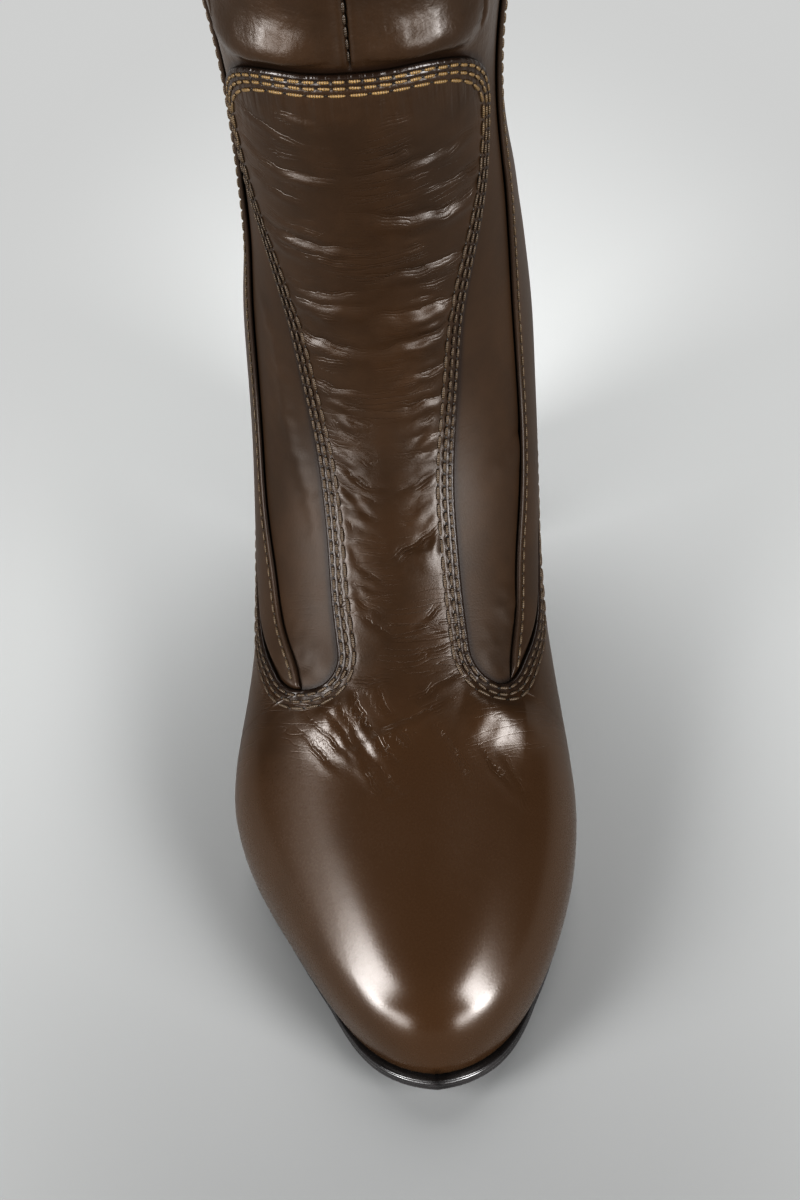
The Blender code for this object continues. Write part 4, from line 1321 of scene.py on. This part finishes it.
SOCK_SIDE = ((0.0, 0.0), (0.0, 1.2), (0.25, 1.75), (0.9, 2.0))     # inset, rise
HEEL_SIDE = [  # share of the height, inset: a rounded foot, the top piece's line, the block
    (0, .02), (.004, .008), (.012, 0), (.085, 0), (.089, .012), (.095, .016), (.101, .012), (.105, 0),
    *[(share, 0) for share in np.linspace(.13, 1, 26)]]
SOLE_SIDE = [  # inset, share of the sole's thickness: a bead, a groove, a wall, a rounded foot
    (1.1, 1.0), (0.5, 1.0), (0.15, 0.97), (0.0, 0.90), (0.05, 0.82), (0.35, 0.77), (0.5, 0.73),
    (0.35, 0.69), (0.15, 0.63), (0.1, 0.52), (0.12, 0.44), (0.2, 0.40), (0.1, 0.35), (0.0, 0.25),
    (0.05, 0.15), (0.25, 0.07), (0.7, 0.01), (1.2, 0.0)]


class BOOT_OT_sole(bpy.types.Operator):
    """Sole with a beaded edge, and the sock inside the boot"""
    bl_idname = "boot.sole"
    bl_label = "Sole and sock"

    def execute(self, context):
        colours = settings()[1]
        material = plain_material("sole_edge", colours.sole, toned(colours.sole, 2.2), rough=0.20,
                                  scale=120.0, relief=0.02, coat=0.3)
        layers = []
        for inset, share in reversed(SOLE_SIDE):
            sides = moved_out(feather_line(), lambda along: sole_ledge(along) - inset)
            layers.append(layer_points(
                sides, lambda s: sole_under(s) + (sole_top(s) - sole_under(s)) * share))
        build = bmesh.new()
        stack(build, layers)
        finish("sole_edge", build, material, "outsole")
        material = plain_material("sock_leather", colours.lining, toned(colours.lining, 0.8), rough=0.5,
                                  scale=70.0, relief=0.05)
        inside = [side[3:] for side in feather_line()]
        layers = []
        for inset, rise in SOCK_SIDE:
            sides = moved_out(inside, lambda along: 0 * along - INSOLE_INSET - inset)
            layers.append(layer_points(sides, lambda s: sole_top(s) + GAP + rise))
        build = bmesh.new()
        stack(build, layers)
        finish("sock", build, material, "insole")
        return {"FINISHED"}


class BOOT_OT_heel(bpy.types.Operator):
    """Block heel with its top piece"""
    bl_idname = "boot.heel"
    bl_label = "Heel"

    def execute(self, context):
        color = settings()[1].sole
        material = plain_material("heel_finish", color, toned(color, 1.8), rough=0.22, scale=90.0,
                                  relief=0.015, coat=0.3)
        sides = []
        for side in moved_out(feather_line(), lambda along: 0 * along - HEEL_SEAT_INSET):
            corner = (np.interp(HEEL_BREAST, side[:, 1], side[:, 0]), HEEL_BREAST)
            sides.append(np.array([corner, *side[side[:, 1] > HEEL_BREAST + HEEL_SEAT_INSET]]))
        seat = layer_points(sides, lambda s: sole_under(s) - GAP)
        front, back = seat[:, :, 1].min(), seat[:, :, 1].max()
        left, right = seat[:, :, 0].min(), seat[:, :, 0].max()
        middle = (left + right) / 2
        foot = np.zeros_like(seat)
        foot[:, :, 0] = middle + (seat[:, :, 0] - middle) * HEEL_FOOT_WIDTH / (right - left)
        foot[:, :, 1] = HEEL_FOOT_FRONT + (
            seat[:, :, 1] - front) * (HEEL_FOOT_BACK - HEEL_FOOT_FRONT) / (back - front)
        layers = []
        for up, inset in HEEL_SIDE:
            points = foot + (seat - foot) * up ** HEEL_FLARE
            points[:, :, 2] = seat[:, :, 2] * up
            centre = points[:, :, :2].mean(axis=(0, 1))
            points[:, :, :2] += (centre - points[:, :, :2]) * inset
            layers.append(points)
        build = bmesh.new()
        stack(build, layers)
        finish("heel_block", build, material, "heel")
        return {"FINISHED"}


# Camera, as fitted to the photograph: its place in the boot's own millimetres, turn and pitch
CAMERA_AT = (23.0, -210.2, 452.0)
CAMERA_TURN = math.radians(3.6)
CAMERA_PITCH = math.radians(50.0)
CAMERA_LENS = 56.82
CAMERA_YAW = math.radians(5.0)      # turned in place, to set the boot in the frame's middle
EXPOSURE = 0.77
GAMMA = 0.65
FLOOR_RADIUS = 6.0
ROOM = (0.43, 0.432, 0.43, 1)       # what the camera sees of the room
DIM = (0.020, 0.020, 0.0205, 1)     # what lights the boot from it
LIT_PLACE = (0.0, -0.02, 0.12)
SOFT_BOXES = [  # name, azimuth from the front to the inner side, elevation, distance, size, watts
    ("left_box", -63.0, 23.0, 1.30, (0.50, 1.10), 26.0),
    ("right_box", 52.0, 22.0, 1.30, (0.50, 1.10), 27.0),
    ("left_card", -42.0, 0.0, 0.92, (0.62, 0.22), 4.4),
    ("right_card", 40.0, 0.0, 0.92, (0.62, 0.22), 4.4),
    ("back_box", 178.0, 58.0, 1.25, (1.20, 0.90), 17.0)]


def lay_floor(scene, colours):
    """A round of pale paper."""
    build = bmesh.new()
    bmesh.ops.create_circle(build, cap_ends=True, segments=96, radius=FLOOR_RADIUS)
    mesh = bpy.data.meshes.new("floor")
    build.to_mesh(mesh)
    build.free()
    mesh.materials.append(floor_material(
        "floor_paper", tuple(colours.floor_front_shade), tuple(colours.floor), ROOM))
    floor = bpy.data.objects.new("floor", mesh)
    scene.collection.objects.link(floor)


def hang_light(scene, name, azimuth, elevation, far, size, watts):
    """A soft box turned to the boot."""
    lamp = bpy.data.lights.new(name, "AREA")
    lamp.shape = "RECTANGLE"
    lamp.size, lamp.size_y = size
    lamp.energy = watts
    a, e = math.radians(azimuth), math.radians(elevation)
    toward = Vector((math.sin(a) * math.cos(e), -math.cos(a) * math.cos(e), math.sin(e)))
    box = bpy.data.objects.new(name, lamp)
    box.location = Vector(LIT_PLACE) + toward * far
    box.rotation_euler = toward.to_track_quat("Z", "Y").to_euler()
    scene.collection.objects.link(box)


def dim_room(scene):
    """A room that looks pale and gives little light."""
    scene.world = bpy.data.worlds.new("room")
    scene.world.use_nodes = True
    tree = scene.world.node_tree
    wires = Wire(tree)
    dim = tree.nodes["Background"]
    dim.inputs["Color"].default_value = DIM
    dim.inputs["Strength"].default_value = 1.0
    seen = wires.node("ShaderNodeBackground", None, {"Color": ROOM, "Strength": 1.0})
    both = wires.node("ShaderNodeMixShader", None, {
        0: wires.node("ShaderNodeLightPath"), 1: Wire(tree, dim.outputs[0]), 2: seen})
    tree.links.new(both.socket, tree.nodes["World Output"].inputs["Surface"])


def set_camera(scene):
    """The camera at the photograph's angle."""
    camera = bpy.data.objects.new("camera", bpy.data.cameras.new("camera"))
    camera.data.lens = CAMERA_LENS
    camera.data.sensor_width = 36.0
    level = Vector((math.sin(CAMERA_TURN), math.cos(CAMERA_TURN), 0)) * math.cos(CAMERA_PITCH)
    look = level - Vector((0, 0, math.sin(CAMERA_PITCH)))
    right = Vector((math.cos(CAMERA_TURN), -math.sin(CAMERA_TURN), 0))
    up = right.cross(look)
    turn = Quaternion(up, CAMERA_YAW)
    look.rotate(turn)
    right.rotate(turn)
    camera.rotation_euler = Matrix((right, up, -look)).transposed().to_euler()
    camera.location = place(CAMERA_AT)
    scene.collection.objects.link(camera)
    scene.camera = camera


class BOOT_OT_stage(bpy.types.Operator):
    """Pale floor, soft boxes and cards, a dim room and the camera"""
    bl_idname = "boot.stage"
    bl_label = "Stage"

    def execute(self, context):
        scene = context.scene
        scene.view_settings.view_transform = "Standard"
        scene.view_settings.exposure = EXPOSURE
        scene.view_settings.gamma = GAMMA
        lay_floor(scene, settings()[1])
        for box in SOFT_BOXES:
            hang_light(scene, *box)
        dim_room(scene)
        set_camera(scene)
        return {"FINISHED"}


class BOOT_PT_panel(bpy.types.Panel):
    """Lists the boot's settings and the steps that make it"""
    bl_idname = "BOOT_PT_panel"
    bl_label = "Tall boot"
    bl_space_type = "VIEW_3D"
    bl_region_type = "UI"
    bl_category = "Boot"

    def draw(self, context):
        for group in (context.scene.boot_sizes, context.scene.boot_colours):
            for name in group.__annotations__:
                self.layout.prop(group, name)
        for step in STEPS:
            self.layout.operator(step.bl_idname)


STEPS = (BOOT_OT_upper, BOOT_OT_lining, BOOT_OT_vamp, BOOT_OT_shaft_back, BOOT_OT_stitching,
         BOOT_OT_sole, BOOT_OT_heel, BOOT_OT_stage)
CLASSES = (BootSizes, BootColours, *STEPS, BOOT_PT_panel)


def register():
    for item in CLASSES:
        bpy.utils.register_class(item)
    bpy.types.Scene.boot_sizes = PointerProperty(type=BootSizes)
    bpy.types.Scene.boot_colours = PointerProperty(type=BootColours)


def unregister():
    del bpy.types.Scene.boot_colours
    del bpy.types.Scene.boot_sizes
    for item in reversed(CLASSES):
        bpy.utils.unregister_class(item)


def main():
    register()
    for step in STEPS:
        group, name = step.bl_idname.split(".")
        getattr(getattr(bpy.ops, group), name)()


if __name__ == "__main__":
    main()
